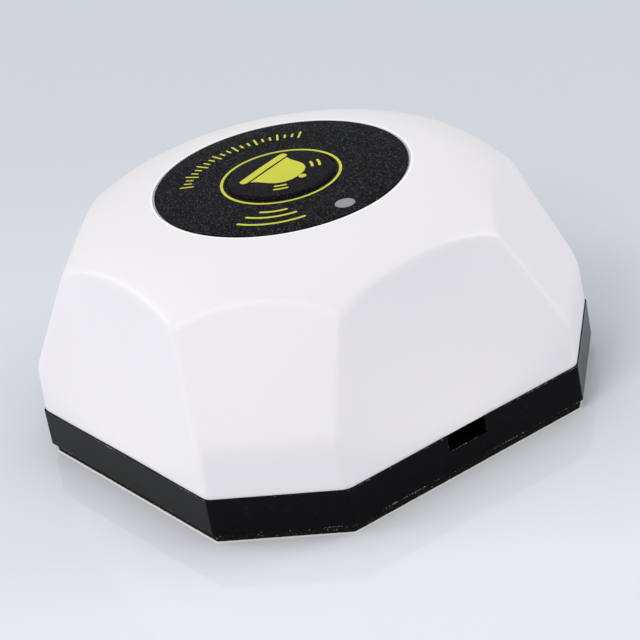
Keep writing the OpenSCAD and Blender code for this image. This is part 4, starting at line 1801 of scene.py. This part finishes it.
@dataclass
class Electronics:
    """The board and all that sits on it."""

    resistors: tuple[Point2, ...] = ((-6, 10), (-6, 12.5), (7, -8.5), (10, -8.5),
                                     (6.2, 12.5))
    capacitors: tuple[Point2, ...] = ((-8, -8), (-12, -5.5), (14.6, -4), (6.2, 10))
    resistor: Point3 = (1.6, 0.8, 0.45)
    capacitor: Point3 = (2.0, 1.25, 0.8)
    joints: tuple[Point2, ...] = ((-0.9, 16.3), (0.9, 16.3), (-6.75, -15), (6.75, -15))
    joint_r: float = 0.95
    joint_h: float = 0.85
    joint_foot: float = 0.35
    end_length: float = 0.36
    end_inset: float = 0.1
    end_over: Point2 = (0.06, 0.04)
    end_lift: float = 0.01
    antenna: Wire = Wire("wound_antenna", radius=2.4, pitch=1.35, turns=10, wire=0.8,
                         start=(-6.75, -15.0, 33.1), legs=(27.9, 28.6, 29.4, 30.0))

    def joint_tree(self) -> ShapeTree:
        """The rule of the solder joints: one fillet below each of the given points.

        Returns:
            The closed tree.
        """
        tree = ShapeTree("solder_joints", {"Radius": self.joint_r * MM,
                                           "Height": self.joint_h * MM})
        cone = tree.node("GeometryNodeMeshCone", {
            "Vertices": 20, "Side Segments": 4, "Radius Top": tree.of("Radius"),
            "Radius Bottom": tree.of("Radius") * self.joint_foot,
            "Depth": tree.of("Height")})
        tree.end(tree.node("GeometryNodeInstanceOnPoints",
                           {"Points": tree.seed, "Instance": cone}))
        return tree

    def build_joints(self, finish: bpy.types.Material) -> bpy.types.Object:
        """Grows the solder joints on the underside of the board.

        Args:
            finish: Its material.

        Returns:
            The joints, as one object.
        """
        low = LEVEL.board_under - self.joint_h
        seed = new_object("solder_joints", np.array([(x, y, low) for x, y in self.joints]), [])
        return self.joint_tree().grow(seed, finish, smooth=50)

    def build_ends(self, finish: bpy.types.Material) -> bpy.types.Object:
        """Grows the tinned ends of the chip resistors and capacitors.

        Args:
            finish: Its material.

        Returns:
            The ends, as one object.
        """
        points, sizes = [], []
        for places, size in ((self.resistors, self.resistor),
                             (self.capacitors, self.capacitor)):
            for x, y in places:
                for side in (-1, 1):
                    points.append((x + side * (size[0] / 2 - self.end_inset), y,
                                   LEVEL.board + size[2] / 2 + self.end_lift))
                    sizes.append((self.end_length, size[1] + self.end_over[0],
                                  size[2] + self.end_over[1]))
        seed = new_object("chip_part_ends", np.array(points), [])
        carry(seed, "net_size", np.array(sizes) * MM)
        tree = ShapeTree("tinned_ends", {})
        block = tree.node("GeometryNodeMeshCube", {"Size": (1.0, 1.0, 1.0)})
        scale = tree.node("GeometryNodeInputNamedAttribute", {"Name": "net_size"},
                          data_type="FLOAT_VECTOR")
        tree.end(tree.node("GeometryNodeInstanceOnPoints", {
            "Points": tree.seed, "Instance": block, "Scale": scale}))
        return tree.grow(seed, finish)

    def build(self, palette: Palette) -> None:
        """Dresses the board's nodes and adds joints, ends and the wound antenna.

        Args:
            palette: The finishes.
        """
        finishes = {
            "circuit_board": palette["board"], "board_screws": palette["steel"],
            "status_led": palette["led"], "led_legs": palette["tin"],
            "encoder_chip": palette["chip"], "chip_leads": palette["tin"],
            "resonator_can": palette["can"], "radio_transistor": palette["chip"],
            "chip_resistors": palette["resistor"], "chip_capacitors": palette["capacitor"]}
        for node, finish in finishes.items():
            dress(node, finish)
        place(self.build_joints(palette["solder"]), Body.SHELL, "tinned", None)
        place(self.build_ends(palette["solder"]), Body.SHELL, "tinned", None)
        place(self.antenna.grow(palette["copper"]), Body.SHELL, "copper_wire", None,
              ["antenna_coil"])


@dataclass
class BatteryBay:
    """The battery, its holder and contacts.

    Both lists of the can are (radius, distance from that end of the cell).
    """

    cell_y: float = -2.0
    can_closed_end: tuple[Point2, ...] = ((4.2, 0.0), (4.4, 0.15), (4.75, 0.15), (5.0, 0.4))
    can_nub_end: tuple[Point2, ...] = ((5.0, 1.5), (4.8, 1.15), (4.3, 1.0), (3.6, 1.0),
                                       (3.3, 1.1), (2.4, 1.1), (2.4, 0.25), (2.15, 0.0))
    can_r: float = 5.0
    sleeve_r: float = 5.15
    sleeve_edge: Point2 = (0.05, 0.1)
    spring_r: float = 2.6
    spring_wire: float = 0.5
    spring_turns: int = 3
    spring_slack: float = 0.17

    @property
    def cell_z(self) -> float:
        """Height of the cell's axis, from the middle of its CAD node."""
        low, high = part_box("battery_cell")
        return (low[2] + high[2]) / 2 / MM

    @staticmethod
    def ends(node: str) -> Point2:
        """Where a CAD node starts and ends along X, in millimetres."""
        low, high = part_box(node)
        return low[0] / MM, high[0] / MM

    def along_x(self, name: str, section: Sequence[Point2]) -> bpy.types.Object:
        """Turns a section and lays the piece along X, on the cell's axis.

        Args:
            name: The piece's name.
            section: (radius, place along X) round the section, anticlockwise.

        Returns:
            The object.
        """
        piece = turned(name, section, 96)
        lay = Matrix.Rotation(math.pi / 2, 4, "Y")
        move = Matrix.Translation((0.0, self.cell_y * MM, self.cell_z * MM))
        piece.data.transform(move @ lay)
        return piece

    def build_can(self) -> bpy.types.Object:
        """The cell's can, with its crimped closed end and its contact nub.

        Returns:
            The can.
        """
        start, end = self.ends("battery_cell")
        closed = [(radius, start + inset) for radius, inset in self.can_closed_end]
        nub = [(radius, end - inset) for radius, inset in self.can_nub_end]
        return self.along_x("cell_can", [(0.0, start), *closed, *nub, (0.0, end)])

    def build_sleeve(self) -> bpy.types.Object:
        """The printed sleeve round the can, with softened ends.

        Returns:
            The sleeve.
        """
        start, end = self.ends("battery_sleeve")
        inner, outer = self.can_r, self.sleeve_r
        deep, long = self.sleeve_edge
        return self.along_x("cell_sleeve", [
            (inner, start), (outer - deep, start), (outer, start + long),
            (outer, end - long), (outer - deep, end), (inner, end)])

    def build_spring(self, finish: bpy.types.Material) -> bpy.types.Object:
        """Grows the contact spring, as long as its CAD node.

        Args:
            finish: Its material.

        Returns:
            The spring.
        """
        start, end = self.ends("contact_spring")
        spring = Wire("pressed_spring", radius=self.spring_r,
                      pitch=(end - start) / self.spring_turns - self.spring_slack,
                      turns=self.spring_turns, wire=self.spring_wire,
                      start=(start + self.spring_wire / 2, self.cell_y, self.cell_z))
        return spring.grow(finish)

    def build(self, palette: Palette) -> None:
        """Dresses the holder and the plates, and builds the cell, its sleeve and the spring.

        Args:
            palette: The finishes.
        """
        dress("battery_holder", palette["holder"])
        dress("contact_plates", palette["steel"])
        place(self.build_can(), Body.SHELL, "cell_steel", palette["can"], ["battery_cell"],
              smooth=35)
        place(self.build_sleeve(), Body.SHELL, "sleeve_film", palette["sleeve"],
              ["battery_sleeve"], smooth=35)
        place(self.build_spring(palette["steel"]), Body.SHELL, "contact_steel", None,
              ["contact_spring"])


# ------------------------------------------------------------------ camera and studio


@dataclass(frozen=True)
class PhotoCamera:
    """The photograph's camera, from its fitted place and axes."""

    place: Point3 = (230.5, 369.8, 236.25)
    right: Point3 = (-0.78522919, 0.59570178, -0.16898078)
    down: Point3 = (0.39847475, 0.27725118, -0.87427093)
    forward: Point3 = (-0.47395463, -0.75383763, -0.45507783)
    lens: float = 175.4

    def build(self) -> None:
        """Makes the scene's camera."""
        data = bpy.data.cameras.new("photo_camera")
        data.lens, data.sensor_width = self.lens, 36.0
        data.clip_start, data.clip_end = 0.01, 50.0
        camera = bpy.data.objects.new("photo_camera", data)
        axes = Matrix((self.right, [-v for v in self.down],
                       [-v for v in self.forward])).transposed()
        camera.matrix_world = (Matrix.Translation(Vector(self.place) * MM)
                               @ axes.to_4x4())
        bpy.context.scene.collection.objects.link(camera)
        bpy.context.scene.camera = camera


@dataclass(frozen=True)
class SoftBox:
    """A square soft light that looks at the object."""

    name: str
    place: Point3
    size: float
    power: float
    colour: Point3 = (1.0, 1.0, 1.0)
    aim: Point3 = (0.0, 0.0, 0.02)

    def build(self) -> None:
        """Makes the light."""
        data = bpy.data.lights.new(self.name, "AREA")
        data.shape, data.size = "SQUARE", self.size
        data.energy, data.color = self.power, self.colour
        light = bpy.data.objects.new(self.name, data)
        aim = Vector(self.aim) - Vector(self.place)
        light.rotation_mode = "QUATERNION"
        light.rotation_quaternion = aim.to_track_quat("-Z", "Y")
        light.location = self.place
        bpy.context.scene.collection.objects.link(light)


@dataclass
class Studio:
    """The pale glossy table, the soft lights and the plain surroundings."""

    # Painted light: the table's colour pales from far to near, towards the camera.
    near: Rgb = (230, 233, 237)
    far: Rgb = (208, 214, 219)
    pale_way: Point2 = (0.72, 0.7)
    pale_levels: Point2 = (-0.11, 0.05)
    cloud_scale: float = 4.0
    cloud_part: float = 0.06
    floor_half: float = 4000.0
    floor_z: float = -0.02
    floor_roughness: float = 0.07
    floor_specular: float = 0.26
    backdrop: Rgb = (210, 214, 219)
    sky_colour: Point3 = (0.985, 0.985, 0.995)
    sky: float = 0.62
    boxes: tuple[SoftBox, ...] = (
        SoftBox("left_key", (1.13, 0.41, 1.0), 0.8, 7.4),
        SoftBox("left_back", (0.9, -0.9, 0.8), 0.9, 5.4),
        SoftBox("right_fill", (-1.1, 0.62, 0.55), 0.9, 6.1),
    )

    def build_floor(self) -> None:
        """The table, with painted light: its colour pales towards the camera."""
        half = self.floor_half
        corners = [(x, y, self.floor_z)
                   for x, y in ((-half, -half), (half, -half), (half, half), (-half, half))]
        floor = new_object("table", np.array(corners), [(0, 1, 2, 3)])
        material = bpy.data.materials.new("pale_glossy_table")
        material.use_nodes = True
        material.node_tree.nodes.clear()
        graph = Graph(material.node_tree)
        spot = graph.node("ShaderNodeTexCoord").outputs["Object"]
        x, y, _ = graph.parts(spot)
        # Painted light: brighter towards the camera, standing in for how the light falls across
        # the table.
        toward = (x * self.pale_way[0] + y * self.pale_way[1]).ramp(*self.pale_levels)
        cloud = graph.value("ShaderNodeTexNoise", {"Vector": spot, "Scale": self.cloud_scale,
                                                   "Detail": 1.0})
        part = (toward + (cloud - 0.5) * self.cloud_part).ramp(0, 1)
        colour = graph.node("ShaderNodeMix", {0: part, 6: linear(self.far),
                                              7: linear(self.near)}, data_type="RGBA")
        shader = graph.node("ShaderNodeBsdfPrincipled", {
            "Base Color": colour.outputs[2], "Roughness": self.floor_roughness,
            "Specular IOR Level": self.floor_specular})
        graph.node("ShaderNodeOutputMaterial", {"Surface": shader})
        floor.data.materials.append(material)
        bpy.context.scene.collection.objects.link(floor)

    def build_world(self) -> None:
        """Even light from all round, with a pale backdrop where it is seen."""
        world = bpy.data.worlds.new("plain_studio")
        world.use_nodes = True
        world.node_tree.nodes.clear()
        graph = Graph(world.node_tree)
        rays = graph.node("ShaderNodeLightPath")
        seen = [Value(graph.tree, rays.outputs[name]) for name in
                ("Is Camera Ray", "Is Glossy Ray", "Is Transmission Ray")]
        light = graph.node("ShaderNodeBackground", {"Color": (*self.sky_colour, 1.0),
                                                    "Strength": self.sky})
        view = graph.node("ShaderNodeBackground", {"Color": linear(self.backdrop),
                                                   "Strength": 1.0})
        both = graph.node("ShaderNodeMixShader", {
            0: seen[0].most(seen[1]).most(seen[2]), 1: light, 2: view})
        graph.node("ShaderNodeOutputWorld", {"Surface": both})
        bpy.context.scene.world = world

    def build(self) -> None:
        """Makes the table, the lights and the surroundings."""
        self.build_floor()
        self.build_world()
        for box in self.boxes:
            box.build()
        bpy.context.scene.view_settings.view_transform = "Standard"


# ------------------------------------------------------------------ assembly


def main() -> None:
    """Builds the call button and its studio."""
    logging.basicConfig(level=logging.INFO, format="%(name)s: %(message)s")
    PhotoCamera().build()
    Studio().build()
    palette = {name: finish.build() for name, finish in FINISHES.items()}
    parts: list[Callable[[Palette], None]] = [
        ShellHousing().build, BaseAssembly().build, LabelPrint().build, PushButton().build,
        TactSwitch().build, Electronics().build, BatteryBay().build]
    for build in parts:
        build(palette)


if __name__ == "__main__":
    main()
